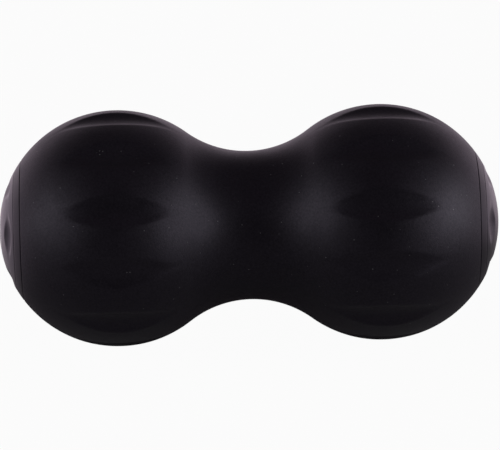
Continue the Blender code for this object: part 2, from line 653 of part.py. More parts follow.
# Control board with its lamps and screws
control_board = rod("control_board", BOARD_RADIUS, BOARD_OUT, BOARD_FRONT, END_STEPS, LACQUER, LEFT_END, LEFT)
head_top = BOARD_OUT - FIT_GAP
tip = head_top + BOARD_SCREW_LENGTH
board_screw_profile = [
    (0.0, tip),
    (BOARD_SCREW_RADIUS, tip - BOARD_SCREW_RADIUS),
    (BOARD_SCREW_RADIUS, head_top),
    (BOARD_SCREW_HEAD, head_top),
    (BOARD_SCREW_HEAD, head_top - BOARD_SCREW_HEAD / 2),
    (0.0, head_top - BOARD_SCREW_HEAD),
]
for i, at in enumerate(board_screw_places):
    hole = rod(f"board_hole_{i}", BOARD_SCREW_HOLE, head_top, ON_BOARD, TINY_STEPS, None, at, LEFT)
    combine(control_board, hole)
    turned(f"board_screw_{i + 1}", board_screw_profile, TINY_STEPS, STEEL, at, LEFT, ring=False)
led_low = (-LED_SIDE / 2, -LED_SIDE / 2, ON_BOARD)
led_high = (LED_SIDE / 2, LED_SIDE / 2, ON_BOARD + LED_HEIGHT)
for i in range(LED_COUNT):
    at = on_left_end((LIGHT_BORE + LIGHT_OUTER) / 2, SOCKET_ROLL + (2 * i + 1) * math.pi / LED_COUNT)
    blocks(f"status_led_{i + 1}", [(led_low, led_high)], LED_BODY, at, LEFT)

# Charging socket, standing on the board with its mouth just inside the cap
socket_turn = rolled(LEFT, -SOCKET_ROLL)
socket_at = on_left_end(SOCKET_CENTRE_RADIUS, SOCKET_ROLL)
mouth = dome(SOCKET_CENTRE_RADIUS + SOCKET_WIDTH / 2) - SOCKET_RECESS
socket_floor = ON_BOARD + SOCKET_HEIGHT
slot = stadium(
    "socket_slot",
    SOCKET_WIDTH + 2 * FIT_GAP,
    SOCKET_HEIGHT + 2 * FIT_GAP,
    ON_BOARD,
    LOBE_RADIUS + FIT_GAP,
    None,
    socket_at,
    socket_turn,
)
combine(control_cap, slot)
socket_shell = stadium(
    "charge_socket_shell", SOCKET_WIDTH, SOCKET_HEIGHT, ON_BOARD, mouth, STEEL, socket_at, socket_turn
)
socket_hollow = stadium(
    "socket_hollow",
    SOCKET_WIDTH - 2 * SOCKET_WALL,
    SOCKET_HEIGHT - 2 * SOCKET_WALL,
    socket_floor,
    mouth + FIT_GAP,
    None,
    socket_at,
    socket_turn,
)
combine(socket_shell, socket_hollow)
tongue_low = (-TONGUE_WIDTH / 2, -TONGUE_THICKNESS / 2, socket_floor + FIT_GAP)
tongue_high = (TONGUE_WIDTH / 2, TONGUE_THICKNESS / 2, socket_floor + FIT_GAP + TONGUE_LENGTH)
blocks("charge_socket_tongue", [(tongue_low, tongue_high)], BLACK_PVC, socket_at, socket_turn)

# Battery: two cells side by side in a cradle, with strips across their ends and foam on top
cell_end = CELL_LENGTH / 2
cell_profile = [
    (0.0, cell_end),
    (CELL_RADIUS - CELL_EDGE, cell_end),
    (CELL_RADIUS, cell_end - CELL_EDGE),
    (CELL_RADIUS, CELL_EDGE - cell_end),
    (CELL_RADIUS - CELL_EDGE, -cell_end),
    (0.0, -cell_end),
]
for sign, word in ((-1, "front"), (1, "back")):
    at = (CELLS_MIDDLE_X, sign * CELL_Y, 0)
    turned(f"battery_cell_{word}", cell_profile, SMALL_STEPS, CELL_WRAP, at, RIGHT, ring=False)
half_tab = TAB_WIDTH / 2
link_x = CELL_END_X + FIT_GAP
link_low = (link_x, -CELL_Y - half_tab, -half_tab)
link_high = (link_x + TAB_THICKNESS, CELL_Y + half_tab, half_tab)
blocks("cell_link_strip", [(link_low, link_high)], NICKEL)
strip_x = CELL_LEFT_X - FIT_GAP
for sign, word in ((-1, "positive"), (1, "negative")):
    low = (strip_x - TAB_THICKNESS, sign * CELL_Y - half_tab, -half_tab)
    high = (strip_x, sign * CELL_Y + half_tab, half_tab)
    blocks(f"cell_strip_{word}", [(low, high)], NICKEL)
cradle_inner = CELL_LENGTH / 2 + 2 * FIT_GAP + TAB_THICKNESS
cradle_half = cradle_inner + CRADLE_END_WALL
cradle_low = (CELLS_MIDDLE_X - cradle_half, -CRADLE_WIDTH / 2, cradle_bottom)
cradle_high = (CELLS_MIDDLE_X + cradle_half, CRADLE_WIDTH / 2, -CRADLE_TOP_DROP)
battery_cradle = blocks("battery_cradle", [(cradle_low, cradle_high)], NATURAL_NYLON)
for sign in (-1, 1):
    at = (CELLS_MIDDLE_X, sign * CELL_Y, 0)
    trough_radius = CELL_RADIUS + FIT_GAP
    trough = rod(f"trough_{sign}", trough_radius, -cradle_inner, cradle_inner, SMALL_STEPS, None, at, RIGHT)
    combine(battery_cradle, trough)
pad_low = (CELLS_MIDDLE_X - PAD_LENGTH / 2, -PAD_WIDTH / 2, pad_top - PAD_THICKNESS)
pad_high = (CELLS_MIDDLE_X + PAD_LENGTH / 2, PAD_WIDTH / 2, pad_top)
blocks("battery_foam_pad", [(pad_low, pad_high)], FOAM)

# Motor: a steel can with a nose bush, a plastic end bell with the other bush, and two arc magnets
half_can = CAN_LENGTH / 2
nose_hole = BUSH_RADIUS + FIT_GAP
can_profile = [
    (nose_hole, half_can),
    (CAN_RADIUS, half_can),
    (CAN_RADIUS, -half_can),
    (CAN_RADIUS - CAN_WALL, -half_can),
    (CAN_RADIUS - CAN_WALL, half_can - CAN_WALL),
    (nose_hole, half_can - CAN_WALL),
]
turned("motor_can", can_profile, SHELL_STEPS, STEEL, RIGHT_END, RIGHT)
spigot_radius = CAN_RADIUS - CAN_WALL - FIT_GAP
bell_back = -half_can - FIT_GAP
bell_profile = [
    (nose_hole, -half_can + BELL_SPIGOT),
    (spigot_radius, -half_can + BELL_SPIGOT),
    (spigot_radius, bell_back),
    (CAN_RADIUS, bell_back),
    (CAN_RADIUS, bell_back - BELL_THICKNESS),
    (nose_hole, bell_back - BELL_THICKNESS),
]
turned("motor_end_bell", bell_profile, SHELL_STEPS, BLACK_PVC, RIGHT_END, RIGHT)
bush_bore = SHAFT_RADIUS + RUN_GAP
bush_profile = [
    (bush_bore, BUSH_LENGTH / 2),
    (BUSH_RADIUS, BUSH_LENGTH / 2),
    (BUSH_RADIUS, -BUSH_LENGTH / 2),
    (bush_bore, -BUSH_LENGTH / 2),
]
outer_bush_x = MOTOR_OUTER_X - CAN_WALL / 2
inner_bush_x = MOTOR_INNER_X
turned("motor_bush_outer", bush_profile, SMALL_STEPS, BRONZE, (outer_bush_x, 0, 0), RIGHT)
turned("motor_bush_inner", bush_profile, SMALL_STEPS, BRONZE, (inner_bush_x, 0, 0), RIGHT)
magnet_outer = CAN_RADIUS - CAN_WALL - FIT_GAP
magnet_profile = [
    (magnet_outer - MAGNET_THICKNESS, CORE_LENGTH / 2),
    (magnet_outer, CORE_LENGTH / 2),
    (magnet_outer, -CORE_LENGTH / 2),
    (magnet_outer - MAGNET_THICKNESS, -CORE_LENGTH / 2),
]
for sign, word in ((1, "upper"), (-1, "lower")):
    magnet = turned(f"magnet_{word}", magnet_profile, SHELL_STEPS, FERRITE, RIGHT_END, RIGHT)
    near, far = sorted((sign * MAGNET_HALF_GAP, -sign * CAN_RADIUS * 2))
    trim = blocks(f"magnet_trim_{word}", [((-FAR, -FAR, near), (FAR, FAR, far))], None)
    combine(magnet, trim)
for sign, word in ((-1, "left"), (1, "right")):
    thick, wide, tall = TERMINAL_SIZE
    y = sign * TERMINAL_OFFSET
    low = (BELL_FACE_X - FIT_GAP - wide, y - thick / 2, TERMINAL_HEIGHT - tall / 2)
    high = (BELL_FACE_X - FIT_GAP, y + thick / 2, TERMINAL_HEIGHT + tall / 2)
    blocks(f"motor_terminal_{word}", [(low, high)], NICKEL)

# Rubber mounts: grommets round the can whose grooves drop over the shell's ribs
mount_bore = CAN_RADIUS + FIT_GAP
half_groove = MOUNT_RIB_THICKNESS / 2 + FIT_GAP
half_mount = half_groove + MOUNT_LIP
groove_floor = MOUNT_RADIUS - MOUNT_GROOVE_DEPTH
mount_profile = [
    (mount_bore, half_mount),
    (MOUNT_RADIUS, half_mount),
    (MOUNT_RADIUS, half_groove),
    (groove_floor, half_groove),
    (groove_floor, -half_groove),
    (MOUNT_RADIUS, -half_groove),
    (MOUNT_RADIUS, -half_mount),
    (mount_bore, -half_mount),
]
for x, word in zip(mount_stations, ("inner", "outer")):
    turned(f"motor_mount_{word}", mount_profile, SHELL_STEPS, MOUNT_RUBBER, (x, 0, 0), RIGHT)

# Rotor: the shaft with its core, commutator and a weight past each end of the motor
shaft_half = half_can + SHAFT_OVERHANG
rod("motor_shaft", SHAFT_RADIUS, -shaft_half, shaft_half, SMALL_STEPS, STEEL, RIGHT_END, RIGHT)
hub_bore = SHAFT_RADIUS + FIT_GAP
core_profile = [
    (hub_bore, CORE_LENGTH / 2),
    (CORE_RADIUS, CORE_LENGTH / 2),
    (CORE_RADIUS, -CORE_LENGTH / 2),
    (hub_bore, -CORE_LENGTH / 2),
]
rotor_core = turned("rotor_core", core_profile, CORE_SLOTS * 6, LAMINATION, RIGHT_END, RIGHT)
for i in range(CORE_SLOTS):
    roll = math.pi / 6 + 2 * math.pi * i / CORE_SLOTS
    low = (-CORE_LENGTH, -CORE_SLOT_WIDTH / 2, CORE_RADIUS - CORE_SLOT_DEPTH)
    high = (CORE_LENGTH, CORE_SLOT_WIDTH / 2, CORE_RADIUS + CORE_SLOT_DEPTH)
    slot_cutter = blocks(f"core_slot_{i}", [(low, high)], None, RIGHT_END, (roll, 0, 0))
    combine(rotor_core, slot_cutter)
commutator_x = LOBE_X - CORE_LENGTH / 2 - FIT_GAP - COMMUTATOR_LENGTH / 2
commutator_profile = [
    (hub_bore, COMMUTATOR_LENGTH / 2),
    (COMMUTATOR_RADIUS, COMMUTATOR_LENGTH / 2),
    (COMMUTATOR_RADIUS, -COMMUTATOR_LENGTH / 2),
    (hub_bore, -COMMUTATOR_LENGTH / 2),
]
turned("commutator", commutator_profile, SMALL_STEPS, COPPER, (commutator_x, 0, 0), RIGHT)
weight_profile = [
    (hub_bore, WEIGHT_THICKNESS / 2),
    (WEIGHT_RADIUS, WEIGHT_THICKNESS / 2),
    (WEIGHT_RADIUS, -WEIGHT_THICKNESS / 2),
    (hub_bore, -WEIGHT_THICKNESS / 2),
]
inner_weight_x = BELL_FACE_X - FIT_GAP - TERMINAL_SIZE[1] - WEIGHT_CLEARANCE / 2 - WEIGHT_THICKNESS / 2
outer_weight_x = MOTOR_OUTER_X + BUSH_LENGTH / 2 + WEIGHT_CLEARANCE / 2 + WEIGHT_THICKNESS / 2
for x, word in ((inner_weight_x, "inner"), (outer_weight_x, "outer")):
    at = (x, 0, 0)
    weight = turned(f"eccentric_weight_{word}", weight_profile, SHELL_STEPS, STEEL, at, RIGHT)
    low = (-WEIGHT_THICKNESS, -2 * WEIGHT_RADIUS, 0)
    high = (WEIGHT_THICKNESS, 2 * WEIGHT_RADIUS, 2 * WEIGHT_RADIUS)
    relief = blocks(f"weight_relief_{word}", [(low, high)], None, at)
    reach = 2 * WEIGHT_THICKNESS
    combine(relief, rod(f"weight_hub_{word}", WEIGHT_HUB_RADIUS, -reach, reach, SMALL_STEPS, None, at, RIGHT))
    combine(weight, relief)


def smooth_route(points):
    """Points along a smooth curve that passes through each point of a hand-laid route."""
    spots = [Vector(point) for point in points]
    padded = [2 * spots[0] - spots[1]] + spots + [2 * spots[-1] - spots[-2]]
    route = []
    for i in range(1, len(padded) - 2):
        before, start, end, after = padded[i - 1 : i + 3]
        for j in range(LEAD_POINTS_PER_SPAN):
            t = j / LEAD_POINTS_PER_SPAN
            bend = (end - before) * t + (2 * before - 5 * start + 4 * end - after) * t**2
            bend += (3 * start - before - 3 * end + after) * t**3
            route.append(start + bend / 2)
    return route + [spots[-1]]


def lead(name, points, material):
    """An insulated wire along a hand-laid route."""
    route = smooth_route(points)
    curve = bpy.data.curves.new(name, "CURVE")
    curve.dimensions = "3D"
    curve.bevel_depth = LEAD_RADIUS
    curve.bevel_resolution = 2
    curve.use_fill_caps = True
    spline = curve.splines.new("POLY")
    spline.points.add(len(route) - 1)
    for point, spot in zip(spline.points, route):
        point.co = (*spot, 1)
    return place(name, curve, material, MIDDLE)


# Leads: two from the cells to the board, and two from the board over the cells to the motor
board_back_x = -LOBE_X - BOARD_OUT + FIT_GAP
strip_lead_x = strip_x - TAB_THICKNESS - FIT_GAP
stub = (strip_lead_x - board_back_x) / 4
valley = CELL_RADIUS - LEAD_SINK
over_weight = WEIGHT_RADIUS + LEAD_SWEEP_GAP
above_terminal = TERMINAL_HEIGHT + TERMINAL_SIZE[2] / 2 + FIT_GAP
terminal_x = BELL_FACE_X - FIT_GAP - TERMINAL_SIZE[1] / 2
for sign, word, pvc in ((-1, "positive", RED_PVC), (1, "negative", BLACK_PVC)):
    battery_route = [
        (board_back_x, sign * CELL_Y / 2, 0),
        (board_back_x + stub, sign * CELL_Y / 2, 0),
        (strip_lead_x - stub, sign * CELL_Y, 0),
        (strip_lead_x, sign * CELL_Y, 0),
    ]
    lead(f"battery_lead_{word}", battery_route, pvc)
    side = sign * LEAD_SIDE_OFFSET
    terminal_y = sign * TERMINAL_OFFSET
    motor_route = [
        (board_back_x, side, valley),
        (CELL_LEFT_X, side, valley),
        (CELLS_MIDDLE_X, side, valley),
        (CELL_END_X, side, valley),
        (CELL_END_X + 2 * LEAD_BEND, side, valley + LEAD_BEND),
        (inner_weight_x - WEIGHT_THICKNESS, (side + terminal_y) / 2, over_weight),
        (terminal_x - LEAD_BEND, terminal_y, over_weight),
        (terminal_x, terminal_y, above_terminal + LEAD_BEND),
        (terminal_x, terminal_y, above_terminal),
    ]
    lead(f"motor_lead_{word}", motor_route, pvc)
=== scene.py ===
import math

import bmesh
import bpy
from mathutils import Matrix, Vector


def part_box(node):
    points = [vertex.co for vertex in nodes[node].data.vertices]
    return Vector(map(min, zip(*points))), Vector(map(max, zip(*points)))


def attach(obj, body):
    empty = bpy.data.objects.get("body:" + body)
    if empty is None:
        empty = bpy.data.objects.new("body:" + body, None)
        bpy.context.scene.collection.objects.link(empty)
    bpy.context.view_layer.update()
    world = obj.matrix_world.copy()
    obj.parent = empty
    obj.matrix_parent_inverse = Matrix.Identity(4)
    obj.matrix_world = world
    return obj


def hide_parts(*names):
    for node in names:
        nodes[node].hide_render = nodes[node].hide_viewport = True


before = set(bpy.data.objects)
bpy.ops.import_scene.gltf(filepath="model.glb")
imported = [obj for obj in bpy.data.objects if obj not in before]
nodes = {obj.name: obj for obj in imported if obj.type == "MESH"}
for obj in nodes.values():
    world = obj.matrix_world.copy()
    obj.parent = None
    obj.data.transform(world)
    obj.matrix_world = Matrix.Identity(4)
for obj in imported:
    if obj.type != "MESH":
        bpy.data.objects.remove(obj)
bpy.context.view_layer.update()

axis_low, axis_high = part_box("motor_shaft")
AXIS_HEIGHT = (axis_low.z + axis_high.z) / 2


# ---------------------------------------------------------------- Clamshell
# Two injection-moulded halves in grey ABS, with ribs for the battery and the motor and bosses for the screws.
# They carry everything else and are hidden by the sleeve, so they keep the mould's matt spark texture.
GRAIN_DETAIL = 3.0
DRIFT_DETAIL = 5.0
NOISE_ROUGHNESS = 0.55
GRAIN_SHARE = 0.4
DRIFT_SHARE = 0.6
DUST_COLOUR = (0.10, 0.10, 0.105, 1)


def shader_group(name, inputs, outputs):
    """A node group with its sockets; inputs are (name, type, default) and outputs (name, type)."""
    group = bpy.data.node_groups.new(name, "ShaderNodeTree")
    for label, kind, default in inputs:
        socket = group.interface.new_socket(label, in_out="INPUT", socket_type=kind)
        if default is not None:
            socket.default_value = default
    for label, kind in outputs:
        group.interface.new_socket(label, in_out="OUTPUT", socket_type=kind)
    return group, group.nodes.new("NodeGroupInput"), group.nodes.new("NodeGroupOutput")


def noise(tree, vector, scale, detail=4.0):
    """A noise texture in a node tree; scale is a number or a socket."""
    texture = tree.nodes.new("ShaderNodeTexNoise")
    texture.inputs["Detail"].default_value = detail
    texture.inputs["Roughness"].default_value = NOISE_ROUGHNESS
    tree.links.new(vector, texture.inputs["Vector"])
    if isinstance(scale, (int, float)):
        texture.inputs["Scale"].default_value = scale
    else:
        tree.links.new(scale, texture.inputs["Scale"])
    return texture.outputs["Fac"]


def ranged(tree, value, low, high, to_low, to_high):
    """Maps a value from one range to another; the new range may be sockets."""
    node = tree.nodes.new("ShaderNodeMapRange")
    tree.links.new(value, node.inputs["Value"])
    node.inputs["From Min"].default_value = low
    node.inputs["From Max"].default_value = high
    for label, end in (("To Min", to_low), ("To Max", to_high)):
        if isinstance(end, (int, float)):
            node.inputs[label].default_value = end
        else:
            tree.links.new(end, node.inputs[label])
    return node.outputs["Result"]


def mixed(tree, factor, first, second):
    """A colour mix; the two colours are sockets or RGBA values."""
    node = tree.nodes.new("ShaderNodeMix")
    node.data_type = "RGBA"
    tree.links.new(factor, node.inputs["Factor"])
    for label, colour in (("A", first), ("B", second)):
        socket = [s for s in node.inputs if s.name == label and s.type == "RGBA"][0]
        if isinstance(colour, tuple):
            socket.default_value = colour
        else:
            tree.links.new(colour, socket)
    return [s for s in node.outputs if s.type == "RGBA"][0]


def maths(tree, operation, first, second=None, third=None):
    """One arithmetic node; each operand is a socket or a number."""
    node = tree.nodes.new("ShaderNodeMath")
    node.operation = operation
    for i, value in enumerate((first, second, third)):
        if value is None:
            continue
        if isinstance(value, (int, float)):
            node.inputs[i].default_value = value
        else:
            tree.links.new(value, node.inputs[i])
    return node.outputs[0]


# Moulded grain: a fine bump, a slow drift between two shades, and a roughness that wanders between two values
grain_group, grain_in, grain_out = shader_group(
    "moulded_grain",
    [
        ("Vector", "NodeSocketVector", None),
        ("Grain Scale", "NodeSocketFloat", 2600.0),
        ("Drift Scale", "NodeSocketFloat", 60.0),
        ("Dark", "NodeSocketColor", (0.01, 0.01, 0.01, 1)),
        ("Light", "NodeSocketColor", (0.02, 0.02, 0.02, 1)),
        ("Roughness Low", "NodeSocketFloat", 0.4),
        ("Roughness High", "NodeSocketFloat", 0.5),
    ],
    [("Colour", "NodeSocketColor"), ("Roughness", "NodeSocketFloat"), ("Height", "NodeSocketFloat")],
)
grain_height = noise(grain_group, grain_in.outputs["Vector"], grain_in.outputs["Grain Scale"], GRAIN_DETAIL)
grain_drift = noise(grain_group, grain_in.outputs["Vector"], grain_in.outputs["Drift Scale"], DRIFT_DETAIL)
grain_tone = maths(
    grain_group,
    "ADD",
    maths(grain_group, "MULTIPLY", grain_height, GRAIN_SHARE),
    maths(grain_group, "MULTIPLY", grain_drift, DRIFT_SHARE),
)
grain_tone = ranged(grain_group, grain_tone, 0.35, 0.65, 0.0, 1.0)
grain_colour = mixed(grain_group, grain_tone, grain_in.outputs["Dark"], grain_in.outputs["Light"])
grain_rough = ranged(
    grain_group, grain_drift, 0.3, 0.7, grain_in.outputs["Roughness Low"], grain_in.outputs["Roughness High"]
)
grain_group.links.new(grain_colour, grain_out.inputs["Colour"])
grain_group.links.new(grain_rough, grain_out.inputs["Roughness"])
grain_group.links.new(grain_height, grain_out.inputs["Height"])

# Dust: small pale specks, a few to the square centimetre, of unlike sizes
dust_group, dust_in, dust_out = shader_group(
    "dust_specks",
    [
        ("Vector", "NodeSocketVector", None),
        ("Scale", "NodeSocketFloat", 900.0),
        ("Share", "NodeSocketFloat", 0.06),
        ("Size", "NodeSocketFloat", 0.22),
    ],
    [("Mask", "NodeSocketFloat")],
)
dust_cells = dust_group.nodes.new("ShaderNodeTexVoronoi")
dust_group.links.new(dust_in.outputs["Vector"], dust_cells.inputs["Vector"])
dust_group.links.new(dust_in.outputs["Scale"], dust_cells.inputs["Scale"])
dust_pick = dust_group.nodes.new("ShaderNodeSeparateColor")
dust_group.links.new(dust_cells.outputs["Color"], dust_pick.inputs["Color"])
dust_chosen = maths(dust_group, "LESS_THAN", dust_pick.outputs["Red"], dust_in.outputs["Share"])
dust_radius = maths(dust_group, "MULTIPLY", dust_pick.outputs["Green"], dust_in.outputs["Size"])
dust_near = maths(dust_group, "LESS_THAN", dust_cells.outputs["Distance"], dust_radius)
dust_group.links.new(maths(dust_group, "MULTIPLY", dust_chosen, dust_near), dust_out.inputs["Mask"])


def new_finish(name):
    """An empty material with its shader and the piece's own coordinates."""
    material = bpy.data.materials.new(name)
    material.use_nodes = True
    tree = material.node_tree
    shader = tree.nodes["Principled BSDF"]
    place = tree.nodes.new("ShaderNodeTexCoord").outputs["Object"]
    return material, tree, shader, place


def use_group(tree, group, vector, **values):
    """Places a shader group in a material with its own values; an underscore stands for a space."""
    node = tree.nodes.new("ShaderNodeGroup")
    node.node_tree = group
    tree.links.new(vector, node.inputs["Vector"])
    for label, value in values.items():
        node.inputs[label.replace("_", " ")].default_value = value
    return node


def bump(tree, shader, height, distance):
    """Feeds a height in metres to the shader's normal."""
    node = tree.nodes.new("ShaderNodeBump")
    node.inputs["Strength"].default_value = 1.0
    node.inputs["Distance"].default_value = distance
    tree.links.new(height, node.inputs["Height"])
    tree.links.new(node.outputs["Normal"], shader.inputs["Normal"])


def moulded(name, dark, light, roughness, grain_scale, grain_depth, dust=0.0):
    """A moulded plastic or rubber finish: two close shades, a fine grain, and dust where it shows."""
    material, tree, shader, place = new_finish(name)
    grain = use_group(
        tree,
        grain_group,
        place,
        Grain_Scale=grain_scale,
        Dark=(*dark, 1),
        Light=(*light, 1),
        Roughness_Low=roughness[0],
        Roughness_High=roughness[1],
    )
    colour = grain.outputs["Colour"]
    if dust:
        specks = use_group(tree, dust_group, place, Share=dust)
        colour = mixed(tree, specks.outputs["Mask"], colour, DUST_COLOUR)
    tree.links.new(colour, shader.inputs["Base Color"])
    tree.links.new(grain.outputs["Roughness"], shader.inputs["Roughness"])
    bump(tree, shader, grain.outputs["Height"], grain_depth)
    return material


def dress(material, *names):
    """Gives carried-over nodes their finish."""
    for name in names:
        mesh = nodes[name].data
        mesh.materials.clear()
        mesh.materials.append(material)


shell_plastic = moulded(
    "grey_shell_plastic", (0.085, 0.085, 0.092), (0.120, 0.120, 0.128), (0.45, 0.60), 1500.0, 0.00004
)
dress(shell_plastic, "lower_shell", "upper_shell")


# ---------------------------------------------------------------- Rubber mounts
# Two moulded grommets round the motor's can. Their grooves drop over the clamshell's ribs, and keep the
# vibration from rattling the halves.
mount_rubber = moulded(
    "grey_mount_rubber", (0.035, 0.035, 0.037), (0.060, 0.060, 0.062), (0.70, 0.85), 900.0, 0.00006
)
dress(mount_rubber, "motor_mount_inner", "motor_mount_outer")


# ---------------------------------------------------------------- Motor
# A brushed motor: a drawn and zinc-plated steel can, an end bell in black nylon, oiled bronze bushes, two
# ferrite magnets and two nickel terminals.
METAL_LINE_SCALE = 2400.0

metal_group, metal_in, metal_out = shader_group(
    "turned_metal",
    [
        ("Vector", "NodeSocketVector", None),
        ("Axis Height", "NodeSocketFloat", AXIS_HEIGHT),
        ("Line Scale", "NodeSocketFloat", METAL_LINE_SCALE),
        ("Stain Scale", "NodeSocketFloat", 180.0),
        ("Clean", "NodeSocketColor", (0.5, 0.5, 0.5, 1)),
        ("Stained", "NodeSocketColor", (0.4, 0.4, 0.4, 1)),
        ("Roughness Low", "NodeSocketFloat", 0.2),
        ("Roughness High", "NodeSocketFloat", 0.4),
    ],
    [("Colour", "NodeSocketColor"), ("Roughness", "NodeSocketFloat"), ("Height", "NodeSocketFloat")],
)
metal_place = metal_group.nodes.new("ShaderNodeSeparateXYZ")
metal_group.links.new(metal_in.outputs["Vector"], metal_place.inputs["Vector"])
metal_up = maths(metal_group, "SUBTRACT", metal_place.outputs["Z"], metal_in.outputs["Axis Height"])
metal_across = maths(metal_group, "MULTIPLY", metal_place.outputs["Y"], metal_place.outputs["Y"])
metal_square = maths(metal_group, "MULTIPLY_ADD", metal_up, metal_up, metal_across)
metal_radius = maths(metal_group, "SQRT", metal_square)
metal_lines = metal_group.nodes.new("ShaderNodeCombineXYZ")
metal_group.links.new(metal_place.outputs["X"], metal_lines.inputs["X"])
metal_group.links.new(metal_radius, metal_lines.inputs["Y"])
metal_height = noise(metal_group, metal_lines.outputs["Vector"], metal_in.outputs["Line Scale"], GRAIN_DETAIL)
metal_stain = noise(metal_group, metal_in.outputs["Vector"], metal_in.outputs["Stain Scale"], DRIFT_DETAIL)
metal_share = ranged(metal_group, metal_stain, 0.40, 0.70, 0.0, 1.0)
metal_colour = mixed(metal_group, metal_share, metal_in.outputs["Clean"], metal_in.outputs["Stained"])
metal_patches = maths(metal_group, "MULTIPLY", metal_stain, 0.5)
metal_mixed = maths(metal_group, "MULTIPLY_ADD", metal_height, 0.5, metal_patches)
metal_rough = ranged(
    metal_group, metal_mixed, 0.3, 0.7, metal_in.outputs["Roughness Low"], metal_in.outputs["Roughness High"]
)
metal_group.links.new(metal_colour, metal_out.inputs["Colour"])
metal_group.links.new(metal_rough, metal_out.inputs["Roughness"])
metal_group.links.new(metal_height, metal_out.inputs["Height"])


def metal(name, clean, stained, roughness, line_depth=0.000006):
    """A bare or plated metal with fine turning lines about the long axis and a patchy bloom."""
    material, tree, shader, place = new_finish(name)
    lines = use_group(
        tree,
        metal_group,
        place,
        Clean=(*clean, 1),
        Stained=(*stained, 1),
        Roughness_Low=roughness[0],
        Roughness_High=roughness[1],
    )
    tree.links.new(lines.outputs["Colour"], shader.inputs["Base Color"])
    tree.links.new(lines.outputs["Roughness"], shader.inputs["Roughness"])
    shader.inputs["Metallic"].default_value = 1.0
    bump(tree, shader, lines.outputs["Height"], line_depth)
    return material


zinc_steel = metal("zinc_plated_steel", (0.56, 0.56, 0.58), (0.46, 0.45, 0.42), (0.24, 0.42))
bronze = metal("oiled_bronze", (0.46, 0.30, 0.13), (0.30, 0.18, 0.08), (0.25, 0.45))
nickel = metal("nickel_strip", (0.62, 0.60, 0.55), (0.52, 0.50, 0.45), (0.18, 0.34))
black_nylon = moulded(
    "black_nylon", (0.012, 0.012, 0.013), (0.022, 0.022, 0.023), (0.38, 0.52), 1800.0, 0.00002
)
ferrite = moulded(
    "sintered_ferrite", (0.045, 0.045, 0.050), (0.085, 0.085, 0.090), (0.55, 0.72), 2600.0, 0.00005
)
dress(zinc_steel, "motor_can")
dress(black_nylon, "motor_end_bell")
dress(bronze, "motor_bush_outer", "motor_bush_inner")
dress(ferrite, "magnet_upper", "magnet_lower")
dress(nickel, "motor_terminal_left", "motor_terminal_right")


# ---------------------------------------------------------------- Rotor
# A ground steel shaft that carries a stack of varnished laminations, a copper commutator, and past each end
# of the motor a half-round weight in plated steel, pressed on with both weights on the same side.
bright_steel = metal("ground_steel", (0.62, 0.62, 0.63), (0.55, 0.55, 0.56), (0.12, 0.24), 0.000003)
copper = metal("copper_segments", (0.62, 0.29, 0.16), (0.38, 0.18, 0.11), (0.22, 0.40))
lamination = metal("varnished_laminations", (0.26, 0.10, 0.05), (0.16, 0.07, 0.04), (0.30, 0.50), 0.00002)
dress(bright_steel, "motor_shaft")
dress(lamination, "rotor_core")
dress(copper, "commutator")
dress(zinc_steel, "eccentric_weight_inner", "eccentric_weight_outer")


# ---------------------------------------------------------------- Battery
# Two round cells in blue shrink film, side by side in a nylon cradle. Nickel strips are spot-welded to their
# ends, and a foam pad presses them down when the clamshell closes.
cell_wrap = moulded(
    "blue_shrink_film", (0.045, 0.150, 0.380), (0.065, 0.200, 0.460), (0.26, 0.40), 500.0, 0.00004
)
cradle_nylon = moulded(
    "natural_nylon", (0.56, 0.54, 0.47), (0.66, 0.64, 0.58), (0.42, 0.56), 1400.0, 0.00003
)
dress(cell_wrap, "battery_cell_front", "battery_cell_back")
dress(nickel, "cell_link_strip", "cell_strip_positive", "cell_strip_negative")
dress(cradle_nylon, "battery_cradle")

foam, foam_tree, foam_shader, foam_place = new_finish("open_cell_foam")
foam_cells = foam_tree.nodes.new("ShaderNodeTexVoronoi")
foam_cells.inputs["Scale"].default_value = 1400.0
foam_tree.links.new(foam_place, foam_cells.inputs["Vector"])
# The foam's pits are painted darker than its cell walls: a painted shade in the hollows that the bump sinks.
foam_pit_shade = ranged(foam_tree, foam_cells.outputs["Distance"], 0.0, 0.6, 0.0, 1.0)
foam_colour = mixed(foam_tree, foam_pit_shade, (0.012, 0.012, 0.012, 1), (0.050, 0.050, 0.052, 1))
foam_rough = ranged(foam_tree, noise(foam_tree, foam_place, 200.0), 0.3, 0.7, 0.88, 0.98)
foam_tree.links.new(foam_colour, foam_shader.inputs["Base Color"])
foam_tree.links.new(foam_rough, foam_shader.inputs["Roughness"])
bump(foam_tree, foam_shader, foam_cells.outputs["Distance"], 0.0003)
dress(foam, "battery_foam_pad")


# ---------------------------------------------------------------- Control board
# A round glass-fibre board under green lacquer, held by three screws to the control cap's bosses. It carries
# the push switch, four small lamps under the light ring, and the charging socket.
LAMP_COUNT = 4
BOARD_SCREW_COUNT = 3
SHELL_SCREW_COUNT = 8

board, board_tree, board_shader, board_place = new_finish("lacquered_board")
board_tracks = board_tree.nodes.new("ShaderNodeTexVoronoi")
board_tracks.distance = "MANHATTAN"
board_tracks.feature = "F2"
board_tracks.inputs["Scale"].default_value = 420.0
board_tree.links.new(board_place, board_tracks.inputs["Vector"])
board_share = ranged(board_tree, board_tracks.outputs["Distance"], 0.55, 0.60, 0.0, 1.0)
board_colour = mixed(board_tree, board_share, (0.018, 0.130, 0.055, 1), (0.035, 0.230, 0.095, 1))
board_weave = noise(board_tree, board_place, 1600.0)
board_rough = ranged(board_tree, board_weave, 0.3, 0.7, 0.26, 0.40)
board_tree.links.new(board_colour, board_shader.inputs["Base Color"])
board_tree.links.new(board_rough, board_shader.inputs["Roughness"])
bump(board_tree, board_shader, board_share, 0.00003)
dress(board, "control_board")

